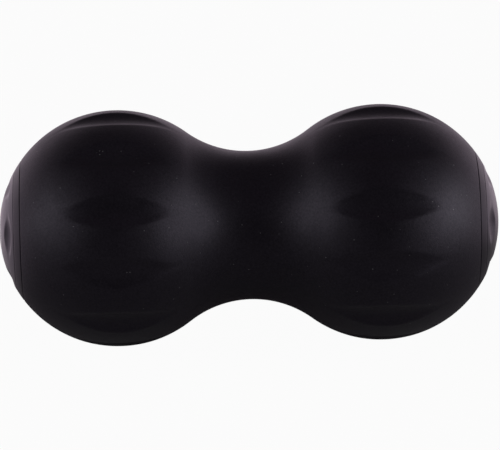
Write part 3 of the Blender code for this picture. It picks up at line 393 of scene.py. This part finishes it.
lamp_body = moulded(
    "lamp_body", (0.78, 0.76, 0.62), (0.86, 0.84, 0.72), (0.30, 0.42), 1600.0, 0.00001
)
dress(lamp_body, *[f"status_led_{i + 1}" for i in range(LAMP_COUNT)])
dress(black_nylon, "switch_body")
dress(cradle_nylon, "switch_plunger")
screw_steel = metal("screw_steel", (0.58, 0.57, 0.54), (0.45, 0.43, 0.38), (0.20, 0.36))
dress(screw_steel, *[f"board_screw_{i + 1}" for i in range(BOARD_SCREW_COUNT)])
dress(screw_steel, *[f"shell_screw_{i + 1}" for i in range(SHELL_SCREW_COUNT)])


# ---------------------------------------------------------------- Leads
# Four stranded wires in soft PVC: two from the cell strips to the board, and two from the board through the
# valley between the cells and over the inner weight to the motor's terminals.
PVC_LOOK = ((0.36, 0.50), 1200.0, 0.00002)

red_pvc = moulded("red_pvc", (0.42, 0.014, 0.012), (0.56, 0.030, 0.024), *PVC_LOOK)
black_pvc = moulded("black_pvc", (0.014, 0.014, 0.014), (0.026, 0.026, 0.027), *PVC_LOOK)
dress(red_pvc, "battery_lead_positive", "motor_lead_positive")
dress(black_pvc, "battery_lead_negative", "motor_lead_negative")


# ---------------------------------------------------------------- Silicone sleeve
# A soft-touch silicone moulding, stretched over the clamshell and trapped by a collar at each end. Each lobe
# carries a ring of lens-shaped hollows, pointed at both tips, that grip and knead.
LOBE_RADIUS = 0.044
LOBE_X = 0.049
WAIST_RADIUS = 0.0277
SEAM_RADIUS = 0.026
SLEEVE_WALL = 0.004
SLEEVE_LIP_DEPTH = 0.0030
GROOVE_COUNT = 12
GROOVE_DEPTH = 0.0018
GROOVE_HALF_WIDTH = 0.00612
GROOVE_HALF_LENGTH = 0.0217
GROOVE_RIM_SOFTNESS = 0.00022
GROOVE_MARGIN = 1.06
GROOVE_SEARCH = 1.3
SLEEVE_STEPS = 480
SHOULDER_STEPS = 9
GROOVE_STEPS = 48
NECK_STEPS = 4
WAIST_STEPS = 26
INNER_LOBE_STEPS = 14
INNER_WAIST_STEPS = 10
CORNER_STEPS = 4
INNER_MOUTH_RISE = 0.002
LIP_TURN = 0.02
EDGE_ROUNDING = 0.00028
RUBBER_SHEEN = (0.88, 0.80, 1.0, 1)
BLOOM_SCALE = 1300.0
BLOOM_GLOSS = (0.34, 0.50)

WAIST_ARC = (LOBE_X**2 + WAIST_RADIUS**2 - LOBE_RADIUS**2) / (2 * (LOBE_RADIUS - WAIST_RADIUS))
ON_AXIS = Matrix.Translation((0, 0, AXIS_HEIGHT))


def spread(first, last, count):
    """Evenly spaced values from first to last."""
    return [first + (last - first) * i / count for i in range(count + 1)]


def spun(profile, steps, ring=True):
    """A turned mesh about the ball's long axis, from (x, radius) points of its section."""
    shape = bmesh.new()
    points = [shape.verts.new((x, 0, -radius)) for x, radius in profile]
    edges = [shape.edges.new(pair) for pair in zip(points, points[1:])]
    if ring:
        edges.append(shape.edges.new((points[-1], points[0])))
    bmesh.ops.spin(
        shape,
        geom=points + edges,
        cent=(0, 0, 0),
        axis=(1, 0, 0),
        dvec=(0, 0, 0),
        angle=2 * math.pi,
        steps=steps,
        use_merge=True,
    )
    bmesh.ops.remove_doubles(shape, verts=shape.verts, dist=0.000002)
    bmesh.ops.recalc_face_normals(shape, faces=shape.faces)
    for face in shape.faces:
        face.smooth = True
    return shape


def linked(name, shape, material=None):
    """An object in the scene from a shape, which is used up."""
    mesh = bpy.data.meshes.new(name)
    shape.to_mesh(mesh)
    shape.free()
    if material:
        mesh.materials.append(material)
    made = bpy.data.objects.new(name, mesh)
    bpy.context.scene.collection.objects.link(made)
    return made


def finished(name, shape, material, body, slot, *replaced):
    """Puts a shape on the axis as a piece that rides on a body, and stands for any CAD nodes named."""
    shape.transform(ON_AXIS)
    piece = linked(name, shape, material)
    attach(piece, body)
    if replaced:
        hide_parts(*replaced)
    return piece


def rounded_corner(before, corner, after, radius):
    """Points of a small round between the two straight sides that meet at a corner."""
    towards = Vector(before) - Vector(corner)
    away = Vector(after) - Vector(corner)
    towards.normalize()
    away.normalize()
    half = towards.angle(away) / 2
    centre = Vector(corner) + (towards + away).normalized() * radius / math.sin(half)
    first = Vector(corner) + towards * radius / math.tan(half) - centre
    last = Vector(corner) + away * radius / math.tan(half) - centre
    turn = first.angle_signed(last)
    return [tuple(centre + Matrix.Rotation(-turn * t, 2) @ first) for t in spread(0, 1, CORNER_STEPS)]


def lobe_arc(radius, angles):
    """Points of the right lobe at angles from the long axis."""
    return [(LOBE_X + radius * math.cos(a), radius * math.sin(a)) for a in angles]


def soft_sink(sink, softness):
    """A hollow's depth with its rim rounded over, where sink is its plain depth and below 0 outside it."""
    if sink <= -softness:
        return 0.0
    if sink >= softness:
        return sink
    return (sink + softness) ** 2 / (4 * softness)


def lens_sink(along, across, depth, softness):
    """Depth of a lens-shaped hollow; along and across are shares of its half length and half width."""
    reach = 1 - along**2
    return soft_sink(depth * (reach * abs(reach) - across**2), softness)


def wrapped(roll, count, phase=0.0):
    """Angle from the nearest of several evenly spaced directions about the axis."""
    pitch = 2 * math.pi / count
    return (roll - phase + pitch / 2) % pitch - pitch / 2


seam_angle = math.asin(SEAM_RADIUS / LOBE_RADIUS)
groove_reach = math.asin(GROOVE_HALF_LENGTH / LOBE_RADIUS)
tangent_angle = math.pi - math.acos(LOBE_X / (WAIST_ARC + LOBE_RADIUS))
groove_edge = groove_reach * GROOVE_MARGIN
groove_start = math.pi / 2 - groove_edge
groove_end = math.pi / 2 + groove_edge
lobe_angles = spread(seam_angle + LIP_TURN, groove_start, SHOULDER_STEPS)[:-1]
lobe_angles += spread(groove_start, groove_end, GROOVE_STEPS)
lobe_angles += spread(groove_end, tangent_angle, NECK_STEPS)[1:]
lobe_points = lobe_arc(LOBE_RADIUS, lobe_angles)
waist_swing = tangent_angle - math.pi / 2
waist_points = []
for angle in spread(waist_swing, -waist_swing, WAIST_STEPS)[1:-1]:
    waist_points.append((WAIST_ARC * math.sin(angle), WAIST_RADIUS + WAIST_ARC * (1 - math.cos(angle))))
seam_edge = (LOBE_X + LOBE_RADIUS * math.cos(seam_angle), SEAM_RADIUS)
lip_floor = (seam_edge[0] - SLEEVE_LIP_DEPTH, SEAM_RADIUS)
lip = rounded_corner(lip_floor, seam_edge, lobe_points[0], EDGE_ROUNDING)
inner_radius = LOBE_RADIUS - SLEEVE_WALL
inner_first = math.asin((SEAM_RADIUS + INNER_MOUTH_RISE) / inner_radius)
inner_points = lobe_arc(inner_radius, spread(tangent_angle, inner_first, INNER_LOBE_STEPS))
inner_waist = []
arc = WAIST_ARC + SLEEVE_WALL
for angle in spread(waist_swing, -waist_swing, INNER_WAIST_STEPS)[1:-1]:
    inner_waist.append((arc * math.sin(angle), WAIST_RADIUS + WAIST_ARC - arc * math.cos(angle)))
outer_half = [lip_floor] + lip + lobe_points
outer_profile = outer_half + waist_points + [(-x, r) for x, r in reversed(outer_half)]
inner_profile = [(-x, r) for x, r in reversed(inner_points)]
sleeve_profile = outer_profile + inner_profile + inner_waist[::-1] + inner_points
sleeve = spun(sleeve_profile, SLEEVE_STEPS)
groove_roll = math.asin(GROOVE_HALF_WIDTH / LOBE_RADIUS)
for vert in sleeve.verts:
    centre = Vector((math.copysign(LOBE_X, vert.co.x), 0, 0))
    out = vert.co - centre
    past_groove = abs(abs(vert.co.x) - LOBE_X) > GROOVE_HALF_LENGTH * GROOVE_SEARCH
    if past_groove or out.length < LOBE_RADIUS - SLEEVE_WALL / 2:
        continue
    along = math.asin(out.x / out.length) / groove_reach
    across = wrapped(math.atan2(out.y, -out.z), GROOVE_COUNT) / groove_roll
    sink = lens_sink(along, across, GROOVE_DEPTH, GROOVE_RIM_SOFTNESS)
    vert.co = centre + out * (1 - sink / LOBE_RADIUS)

silicone = moulded(
    "soft_touch_silicone",
    (0.0022, 0.0018, 0.0030),
    (0.0046, 0.0038, 0.0060),
    (0.44, 0.52),
    2400.0,
    0.00006,
    0.05,
)
silicone_tree = silicone.node_tree
silicone_shader = silicone_tree.nodes["Principled BSDF"]
silicone_place = silicone_tree.nodes.new("ShaderNodeTexCoord").outputs["Object"]
silicone_bloom = noise(silicone_tree, silicone_place, BLOOM_SCALE, GRAIN_DETAIL)
silicone_gloss = ranged(silicone_tree, silicone_bloom, 0.30, 0.70, *BLOOM_GLOSS)
silicone_shader.inputs["Specular IOR Level"].default_value = sum(BLOOM_GLOSS) / 2
silicone_tree.links.new(silicone_gloss, silicone_shader.inputs["Specular IOR Level"])
silicone_shader.inputs["Specular Tint"].default_value = RUBBER_SHEEN
finished("sleeve", sleeve, silicone, "housing", "silicone", "silicone_sleeve")


# ---------------------------------------------------------------- End collars
# Narrow hard rings, one at each end, pressed over the clamshell's necks. They trap the sleeve's lips and show
# as a band between the silicone and the cap.
COLLAR_GAP = 0.0001
CAP_RADIUS = 0.0221
COLLAR_BOTTOM = 0.0303
COLLAR_FOOT_HEIGHT = 0.0012
COLLAR_FOOT_WIDTH = 0.002
END_STEPS = 180
COLLAR_STEPS = 5
SMALL_ROUND = 0.00015
SATIN_GRAIN = (4200.0, 0.000015, 0.03)
COLLAR_GLOSS = 0.36

collar_outer = SEAM_RADIUS - COLLAR_GAP
collar_bore = CAP_RADIUS + COLLAR_GAP


def dome_point(radius, inset=0.0):
    """A point of the right lobe's surface, or of one inside it, at a radius from the axis."""
    return (LOBE_X + math.sqrt((LOBE_RADIUS - inset) ** 2 - radius**2), radius)


cap_plastic = moulded(
    "satin_cap_plastic", (0.0045, 0.0040, 0.0054), (0.0085, 0.0077, 0.0098), (0.27, 0.35), *SATIN_GRAIN
)
collar_plastic = moulded(
    "satin_collar_plastic", (0.0030, 0.0026, 0.0038), (0.0060, 0.0054, 0.0072), (0.36, 0.44), *SATIN_GRAIN
)
for plastic in (cap_plastic, collar_plastic):
    plastic.node_tree.nodes["Principled BSDF"].inputs["Specular Tint"].default_value = RUBBER_SHEEN
collar_shader = collar_plastic.node_tree.nodes["Principled BSDF"]
collar_shader.inputs["Specular IOR Level"].default_value = COLLAR_GLOSS
collar_foot = LOBE_X + COLLAR_BOTTOM
foot_top = collar_foot + COLLAR_FOOT_HEIGHT
collar_radii = spread(collar_bore + SMALL_ROUND, collar_outer - SMALL_ROUND, COLLAR_STEPS)
collar_top = [dome_point(r) for r in collar_radii]
collar_profile = rounded_corner(
    (collar_foot, collar_bore), dome_point(collar_bore), collar_top[0], SMALL_ROUND
)
collar_profile += collar_top[1:-1]
collar_profile += rounded_corner(
    collar_top[-1], dome_point(collar_outer), (foot_top, collar_outer), SMALL_ROUND
)
collar_profile += [(foot_top, collar_outer), (foot_top, collar_outer + COLLAR_FOOT_WIDTH)]
collar_profile += [(collar_foot, collar_outer + COLLAR_FOOT_WIDTH), (collar_foot, collar_bore)]
for side, word in ((-1, "left"), (1, "right")):
    collar = spun([(side * x, r) for x, r in collar_profile], END_STEPS)
    finished(f"collar_{word}", collar, collar_plastic, "housing", "cap_plastic", f"end_collar_{word}")


# ---------------------------------------------------------------- End caps
# Domed satin covers that carry the lobe's curve to the ends, each with a ring of sideways dimples. They snap
# into the clamshell's necks; the left one has the button's opening and the charging slot.
CAP_WALL = 0.0024
RIM_OUT = 0.0353
SKIRT_OUT = 0.0302
SKIRT_RADIUS = 0.0197
SKIRT_WALL = 0.0015
END_FLAT_RADIUS = 0.004
CAP_STEPS = 60
CAP_INNER_STEPS = 12
DIMPLE_COUNT = 5
DIMPLE_DEPTH = 0.0012
DIMPLE_HALF_LENGTH = 0.0080
DIMPLE_INNER_WIDTH = 0.0044
DIMPLE_OUTER_WIDTH = 0.0030
DIMPLE_CENTRE_RADIUS = 0.0180
DIMPLE_PHASE = math.radians(15.5)
DIMPLE_RIM_SOFTNESS = 0.00018
LIGHT_OUTER_RADIUS = 0.0087
LIGHT_GAP = 0.0003

dimple_latitude = math.acos(DIMPLE_CENTRE_RADIUS / LOBE_RADIUS)
dimple_half_roll = math.asin(DIMPLE_HALF_LENGTH / DIMPLE_CENTRE_RADIUS)


def cap_profile(opening):
    """Section of a cap; an opening of 0 closes the middle, with the small flat at its tip."""
    start = opening if opening else END_FLAT_RADIUS
    rim_x = LOBE_X + RIM_OUT
    skirt_x = LOBE_X + SKIRT_OUT
    skirt_bore = SKIRT_RADIUS - SKIRT_WALL
    outside = [dome_point(r) for r in spread(start, CAP_RADIUS - SMALL_ROUND, CAP_STEPS)]
    corner = rounded_corner(outside[-1], dome_point(CAP_RADIUS), (rim_x, CAP_RADIUS), SMALL_ROUND)
    skirt = [(rim_x, CAP_RADIUS), (rim_x, SKIRT_RADIUS), (skirt_x, SKIRT_RADIUS), (skirt_x, skirt_bore)]
    inside = [dome_point(r, CAP_WALL) for r in spread(skirt_bore, start, CAP_INNER_STEPS)]
    profile = outside[:-1] + corner + skirt + inside
    if opening:
        return profile
    return [(outside[0][0], 0.0)] + profile + [(inside[-1][0], 0.0)]


def dimpled(shape, side):
    """Sinks the ring of dimples into a cap's outer face."""
    centre = Vector((side * LOBE_X, 0, 0))
    for vert in shape.verts:
        out = vert.co - centre
        if out.length < LOBE_RADIUS - CAP_WALL / 2:
            continue
        latitude = math.atan2(side * out.x, math.hypot(out.y, out.z))
        across = (latitude - dimple_latitude) * LOBE_RADIUS
        across /= DIMPLE_INNER_WIDTH if across > 0 else DIMPLE_OUTER_WIDTH
        if abs(across) > 2:
            continue
        along = wrapped(math.atan2(out.z, -out.y), DIMPLE_COUNT, DIMPLE_PHASE) / dimple_half_roll
        sink = lens_sink(along, across, DIMPLE_DEPTH, DIMPLE_RIM_SOFTNESS)
        vert.co = centre + out * (1 - sink / LOBE_RADIUS)


plain_cap = spun(cap_profile(0.0), END_STEPS, ring=False)
dimpled(plain_cap, 1)
finished("right_cap", plain_cap, cap_plastic, "housing", "cap_plastic", "plain_cap")

control_profile = [(-x, r) for x, r in cap_profile(LIGHT_OUTER_RADIUS + LIGHT_GAP)]
control_cap = spun(control_profile, END_STEPS)
dimpled(control_cap, -1)
control_cap_piece = finished("left_cap", control_cap, cap_plastic, "housing", "cap_plastic", "control_cap")


# ---------------------------------------------------------------- Charging socket
# A stamped and plated steel shell soldered to the board, with a nylon tongue that carries two rows of gilt
# contacts. Its mouth stands just inside a rounded slot in the left cap, midway between two dimples.
SOCKET_GAP = 3
SOCKET_ROLL = DIMPLE_PHASE + (2 * SOCKET_GAP + 1) * math.pi / DIMPLE_COUNT - math.pi / 2
SOCKET_CENTRE_RADIUS = 0.0143
SOCKET_WIDTH = 0.0089
SOCKET_HEIGHT = 0.0032
SOCKET_WALL = 0.0003
SOCKET_LIP = 0.0001
SLOT_GAP = 0.0003
SLOT_CHAMFER = 0.0003
SLOT_STEPS = 14
LIP_STEPS = 6
TONGUE_WIDTH = 0.0066
TONGUE_THICKNESS = 0.0007
TONGUE_EDGE = 0.00012
CONTACT_COUNT = 12
CONTACT_PITCH = 0.0005
CONTACT_WIDTH = 0.00026
CONTACT_RISE = 0.00002

shell_low, shell_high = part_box("charge_socket_shell")
tongue_low, tongue_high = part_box("charge_socket_tongue")
socket_back = -shell_high.x
socket_mouth = -shell_low.x
socket_long = Vector((0, math.sin(SOCKET_ROLL), math.cos(SOCKET_ROLL)))
socket_short = Vector((0, math.cos(SOCKET_ROLL), -math.sin(SOCKET_ROLL)))


def at_socket(along, across, out):
    """A place measured along the slot, across it, and out from the middle of the ball."""
    return socket_long * (SOCKET_CENTRE_RADIUS + along) + socket_short * across - Vector((out, 0, 0))


def slot_ring(inset, out):
    """Round-ended outline of the socket, smaller by an inset, at a distance out."""
    radius = SOCKET_HEIGHT / 2 - inset
    reach = (SOCKET_WIDTH - SOCKET_HEIGHT) / 2
    ring = []
    for side in (1, -1):
        for angle in spread(-math.pi / 2, math.pi / 2, SLOT_STEPS):
            along = reach + radius * math.cos(angle)
            ring.append(at_socket(side * along, side * radius * math.sin(angle), out))
    return ring


def lofted(rings):
    """A closed mesh through rings of like points, with a flat face over the first and the last."""
    shape = bmesh.new()
    loops = [[shape.verts.new(point) for point in ring] for ring in rings]
    for low, high in zip(loops, loops[1:]):
        for i in range(len(low)):
            j = (i + 1) % len(low)
            shape.faces.new((low[i], low[j], high[j], high[i])).smooth = True
    shape.faces.new(loops[0])
    shape.faces.new(loops[-1])
    bmesh.ops.recalc_face_normals(shape, faces=shape.faces)
    return shape


def bevelled_block(shape, low, high, edge):
    """Adds a block with small bevels, from corners measured at the socket."""
    made = bmesh.ops.create_cube(shape, size=1)["verts"]
    for vert in made:
        spot = [(low[k] + high[k]) / 2 + vert.co[k] * (high[k] - low[k]) for k in range(3)]
        vert.co = at_socket(*spot)
    edges = list({e for vert in made for e in vert.link_edges})
    bmesh.ops.bevel(shape, geom=edges, offset=edge, segments=2, profile=0.5, affect="EDGES")


def on_dome(ring, rise):
    """The ring's points moved along the ball to a height over the cap's dome."""
    lifted = []
    for point in ring:
        level = math.sqrt(LOBE_RADIUS**2 - point.y**2 - point.z**2)
        lifted.append(Vector((-LOBE_X - level - rise, point.y, point.z)))
    return lifted


slot_rings = [slot_ring(-SLOT_GAP, socket_back), on_dome(slot_ring(-SLOT_GAP, 0), -SLOT_CHAMFER)]
slot_rings.append(on_dome(slot_ring(-SLOT_GAP - 2 * SLOT_CHAMFER, 0), SLOT_CHAMFER))
slot_shape = lofted(slot_rings)
slot_shape.transform(ON_AXIS)
slot_cutter = linked("slot_cutter", slot_shape)
slot_cut = control_cap_piece.modifiers.new("slot", "BOOLEAN")
slot_cut.solver = "EXACT"
slot_cut.object = slot_cutter
cut_cap = control_cap_piece.evaluated_get(bpy.context.evaluated_depsgraph_get())
control_cap_piece.data = bpy.data.meshes.new_from_object(cut_cap)
control_cap_piece.modifiers.clear()
bpy.data.objects.remove(slot_cutter)
control_cap_piece.data.set_sharp_from_angle(angle=math.radians(30))

socket_floor = socket_back + SOCKET_HEIGHT
shell_rings = [slot_ring(0, socket_back), slot_ring(0, socket_mouth - SOCKET_LIP)]
for angle in spread(0, math.pi, LIP_STEPS)[1:-1]:
    lip_inset = SOCKET_WALL / 2 * (1 - math.cos(angle))
    shell_rings.append(slot_ring(lip_inset, socket_mouth - SOCKET_LIP * (1 - math.sin(angle))))
shell_rings += [slot_ring(SOCKET_WALL, socket_mouth - SOCKET_LIP), slot_ring(SOCKET_WALL, socket_floor)]
socket_shell = lofted(shell_rings)
finished("socket_shell", socket_shell, zinc_steel, "housing", "bright_steel", "charge_socket_shell")

tongue = bmesh.new()
tongue_half = TONGUE_THICKNESS / 2
bevelled_block(
    tongue,
    (-TONGUE_WIDTH / 2, -tongue_half, -tongue_high.x),
    (TONGUE_WIDTH / 2, tongue_half, -tongue_low.x),
    TONGUE_EDGE,
)
bmesh.ops.recalc_face_normals(tongue, faces=tongue.faces)
finished("socket_tongue", tongue, black_nylon, "housing", "black_plastic", "charge_socket_tongue")

gilt = metal("gilt_contacts", (0.72, 0.50, 0.20), (0.60, 0.40, 0.16), (0.18, 0.30), 0.000002)
contacts = bmesh.new()
for side in (-1, 1):
    for i in range(CONTACT_COUNT):
        middle = (i - (CONTACT_COUNT - 1) / 2) * CONTACT_PITCH
        inner, outer = sorted((side * (tongue_half - CONTACT_RISE), side * (tongue_half + CONTACT_RISE)))
        bevelled_block(
            contacts,
            (middle - CONTACT_WIDTH / 2, inner, -tongue_high.x + TONGUE_EDGE),
            (middle + CONTACT_WIDTH / 2, outer, -tongue_low.x - 3 * TONGUE_EDGE),
            CONTACT_RISE / 3,
        )
bmesh.ops.recalc_face_normals(contacts, faces=contacts.faces)
finished("socket_contacts", contacts, gilt, "housing", "nickel")


# ---------------------------------------------------------------- Power button and its light guide
# A domed key in the middle of the left cap, moulded in the cap's plastic, inside a frosted ring that glows
# with the battery's state. The key slides in its ring and presses the switch behind it.
BUTTON_RADIUS = 0.007
BUTTON_FLANGE_OUT = 0.03878
BUTTON_FLANGE = 0.001
BUTTON_STEM_RADIUS = 0.0015
BUTTON_STEPS = 96
BUTTON_TOP_STEPS = 8
LIGHT_FLANGE = 0.001
LIGHT_TOP_STEPS = 4

frosted = moulded(
    "frosted_light_guide", (0.70, 0.72, 0.74), (0.78, 0.80, 0.82), (0.30, 0.40), 1800.0, 0.00001
)
button_low, button_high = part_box("power_button")
button_top = [dome_point(r) for r in spread(END_FLAT_RADIUS, BUTTON_RADIUS - SMALL_ROUND, BUTTON_TOP_STEPS)]
button_back = -button_high.x
flange_radius = (button_high.z - button_low.z) / 2
flange_front = LOBE_X + BUTTON_FLANGE_OUT
flange_back = flange_front - BUTTON_FLANGE
button_profile = [(button_top[0][0], 0.0)] + button_top[:-1]
button_profile += rounded_corner(
    button_top[-1], dome_point(BUTTON_RADIUS), (flange_front, BUTTON_RADIUS), SMALL_ROUND
)
button_profile += [
    (flange_front, BUTTON_RADIUS),
    (flange_front, flange_radius),
    (flange_back, flange_radius),
    (flange_back, BUTTON_STEM_RADIUS),
    (button_back, BUTTON_STEM_RADIUS),
    (button_back, 0.0),
]
button = spun([(-x, r) for x, r in button_profile], BUTTON_STEPS, ring=False)
finished("power_key", button, cap_plastic, "power_key", "cap_plastic", "power_button")

light_low, light_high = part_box("light_guide")
light_bore = BUTTON_RADIUS + LIGHT_GAP
light_flange_radius = (light_high.z - light_low.z) / 2
light_back = -light_high.x
light_shoulder = light_back + LIGHT_FLANGE
light_radii = spread(light_bore + SMALL_ROUND, LIGHT_OUTER_RADIUS - SMALL_ROUND, LIGHT_TOP_STEPS)
light_top = [dome_point(r) for r in light_radii]
light_profile = rounded_corner((light_back, light_bore), dome_point(light_bore), light_top[0], SMALL_ROUND)
light_profile += light_top[1:-1]
light_profile += rounded_corner(
    light_top[-1], dome_point(LIGHT_OUTER_RADIUS), (light_shoulder, LIGHT_OUTER_RADIUS), SMALL_ROUND
)
light_profile += [
    (light_shoulder, LIGHT_OUTER_RADIUS),
    (light_shoulder, light_flange_radius),
    (light_back, light_flange_radius),
    (light_back, light_bore),
]
light_ring = spun([(-x, r) for x, r in light_profile], BUTTON_STEPS)
finished("light_ring", light_ring, frosted, "housing", "light_guide", "light_guide")


# ---------------------------------------------------------------- Camera, floor and light
# The ball lies on a pale floor and is seen square to its long axis from a little above. Two large soft boxes
# stand at its ends, and the set is otherwise dim in front and white behind, as in a product photograph. On
# the
# floor this is painted light: a painted glow behind and beside the ball and a painted shade in front of and
# under it, seen by the ball and not by the camera.
VIEW_ELEVATION = math.radians(22)
VIEW_AZIMUTH = math.radians(1.5)
VIEW_DISTANCE = 1.25
VIEW_WIDTH = 0.1866
VIEW_ROLL = math.radians(-0.85)
SENSOR_WIDTH = 36.0
AIM_X = 0.0003

# The floor gives off a share of white: FLOOR_LIFT to the camera, and to the ball FLOOR_FRONT from in front of
# it and FLOOR_GLOW from behind, a painted glow. The dim part is painted shade in front of and under the ball;
# it reaches past both ends, further to the right.
FLOOR_RADIUS = 3.0
FLOOR_SIDES = 96
FLOOR_COLOUR = (0.55, 0.55, 0.55, 1)
FLOOR_LIFT = 0.96
FLOOR_FRONT = 0.012
FLOOR_GLOW = 0.9
ROOM_TINT = (1.0, 0.84, 0.97, 1)
DIM_ZONE = 0.10
DIM_SHIFT = -0.04

# The surroundings are white to the camera. The ball sees a low white wall behind it and a faint glow
# overhead. Each pair of numbers is the range of a direction's Y or Z over which one of them comes or goes.
SURROUND = 0.035
OVERHEAD = 0.13
BACK_WALL = 1.0
WALL_START = (0.1, 0.6)
WALL_TOP = (0.10, 0.56)
OVERHEAD_START = (0.50, 0.95)
LIGHT_DISTANCE = 2.5

camera_data = bpy.data.cameras.new("camera")
camera = bpy.data.objects.new("camera", camera_data)
bpy.context.scene.collection.objects.link(camera)
camera_data.sensor_width = SENSOR_WIDTH
camera_data.sensor_fit = "HORIZONTAL"
camera_data.lens = SENSOR_WIDTH * VIEW_DISTANCE / VIEW_WIDTH
camera_data.clip_start = 0.01
aim = Vector((AIM_X, 0, AXIS_HEIGHT))
level = math.cos(VIEW_ELEVATION)
view_from = Vector(
    (-level * math.sin(VIEW_AZIMUTH), -level * math.cos(VIEW_AZIMUTH), math.sin(VIEW_ELEVATION))
)
camera.location = aim + view_from * VIEW_DISTANCE
view_turn = view_from.to_track_quat("Z", "Y").to_matrix() @ Matrix.Rotation(VIEW_ROLL, 3, "Z")
camera.rotation_euler = view_turn.to_euler()
bpy.context.scene.camera = camera

floor_shape = bmesh.new()
bmesh.ops.create_circle(floor_shape, cap_ends=True, segments=FLOOR_SIDES, radius=FLOOR_RADIUS)
floor_material = bpy.data.materials.new("pale_floor")
floor = linked("floor", floor_shape, floor_material)
floor_material.use_nodes = True
floor_tree = floor_material.node_tree
floor_shader = floor_tree.nodes["Principled BSDF"]
floor_shader.inputs["Base Color"].default_value = FLOOR_COLOUR
floor_shader.inputs["Roughness"].default_value = 0.9
floor_shader.inputs["Specular IOR Level"].default_value = 0.0
floor_coordinates = floor_tree.nodes.new("ShaderNodeTexCoord")
floor_place = floor_tree.nodes.new("ShaderNodeSeparateXYZ")
floor_tree.links.new(floor_coordinates.outputs["Object"], floor_place.inputs["Vector"])
# Painted light on the floor: a glow that the ball sees behind and beside it, and a painted shade in front of
# and under it where its shadow falls.
floor_side = maths(floor_tree, "ABSOLUTE", maths(floor_tree, "ADD", floor_place.outputs["X"], DIM_SHIFT))
floor_side = ranged(floor_tree, floor_side, DIM_ZONE, 2 * DIM_ZONE, 0.0, DIM_ZONE)
floor_back = maths(floor_tree, "ADD", floor_place.outputs["Y"], floor_side)
floor_painted_glow = ranged(floor_tree, floor_back, 0.5 * DIM_ZONE, 2 * DIM_ZONE, FLOOR_FRONT, FLOOR_GLOW)
floor_white = floor_tree.nodes.new("ShaderNodeEmission")
floor_mix = floor_tree.nodes.new("ShaderNodeMixShader")
floor_path = floor_tree.nodes.new("ShaderNodeLightPath")
floor_out = floor_tree.nodes["Material Output"]
floor_share = ranged(floor_tree, floor_path.outputs["Is Camera Ray"], 0.0, 1.0, floor_painted_glow, FLOOR_LIFT)
floor_tree.links.new(floor_share, floor_mix.inputs["Fac"])
floor_tint = mixed(floor_tree, floor_path.outputs["Is Camera Ray"], ROOM_TINT, (1, 1, 1, 1))
floor_tree.links.new(floor_tint, floor_white.inputs["Color"])
floor_tree.links.new(floor_shader.outputs["BSDF"], floor_mix.inputs[1])
floor_tree.links.new(floor_white.outputs["Emission"], floor_mix.inputs[2])
floor_tree.links.new(floor_mix.outputs["Shader"], floor_out.inputs["Surface"])

world = bpy.data.worlds.new("surround")
bpy.context.scene.world = world
world.use_nodes = True
world_tree = world.node_tree
surround = world_tree.nodes["Background"]
world_coordinates = world_tree.nodes.new("ShaderNodeTexCoord")
world_way = world_tree.nodes.new("ShaderNodeSeparateXYZ")
world_tree.links.new(world_coordinates.outputs["Generated"], world_way.inputs["Vector"])
world_back = ranged(world_tree, world_way.outputs["Y"], *WALL_START, 0.0, BACK_WALL)
world_top = ranged(world_tree, world_way.outputs["Z"], *WALL_TOP, 1.0, 0.0)
world_above = ranged(world_tree, world_way.outputs["Z"], *OVERHEAD_START, SURROUND, OVERHEAD)
world_dim = maths(world_tree, "MULTIPLY_ADD", world_back, world_top, world_above)
world_path = world_tree.nodes.new("ShaderNodeLightPath")
world_level = ranged(world_tree, world_path.outputs["Is Camera Ray"], 0.0, 1.0, world_dim, 1.0)
world_tree.links.new(world_level, surround.inputs["Strength"])
world_tint = mixed(world_tree, world_path.outputs["Is Camera Ray"], ROOM_TINT, (1, 1, 1, 1))
world_tree.links.new(world_tint, surround.inputs["Color"])


def soft_box(name, direction, width, height, power):
    """A large rectangular soft light that faces the ball."""
    data = bpy.data.lights.new(name, "AREA")
    data.shape = "RECTANGLE"
    data.size = width
    data.size_y = height
    data.energy = power
    lamp = bpy.data.objects.new(name, data)
    bpy.context.scene.collection.objects.link(lamp)
    lamp.location = aim + Vector(direction).normalized() * LIGHT_DISTANCE
    lamp.rotation_euler = Vector(direction).to_track_quat("Z", "Y").to_euler()


soft_box("soft_box_right", (0.935, -0.275, 0.235), 2.35, 1.5, 32.5)
soft_box("soft_box_left", (-0.935, -0.275, 0.320), 2.15, 1.4, 17.5)
bpy.context.scene.view_settings.view_transform = "Standard"
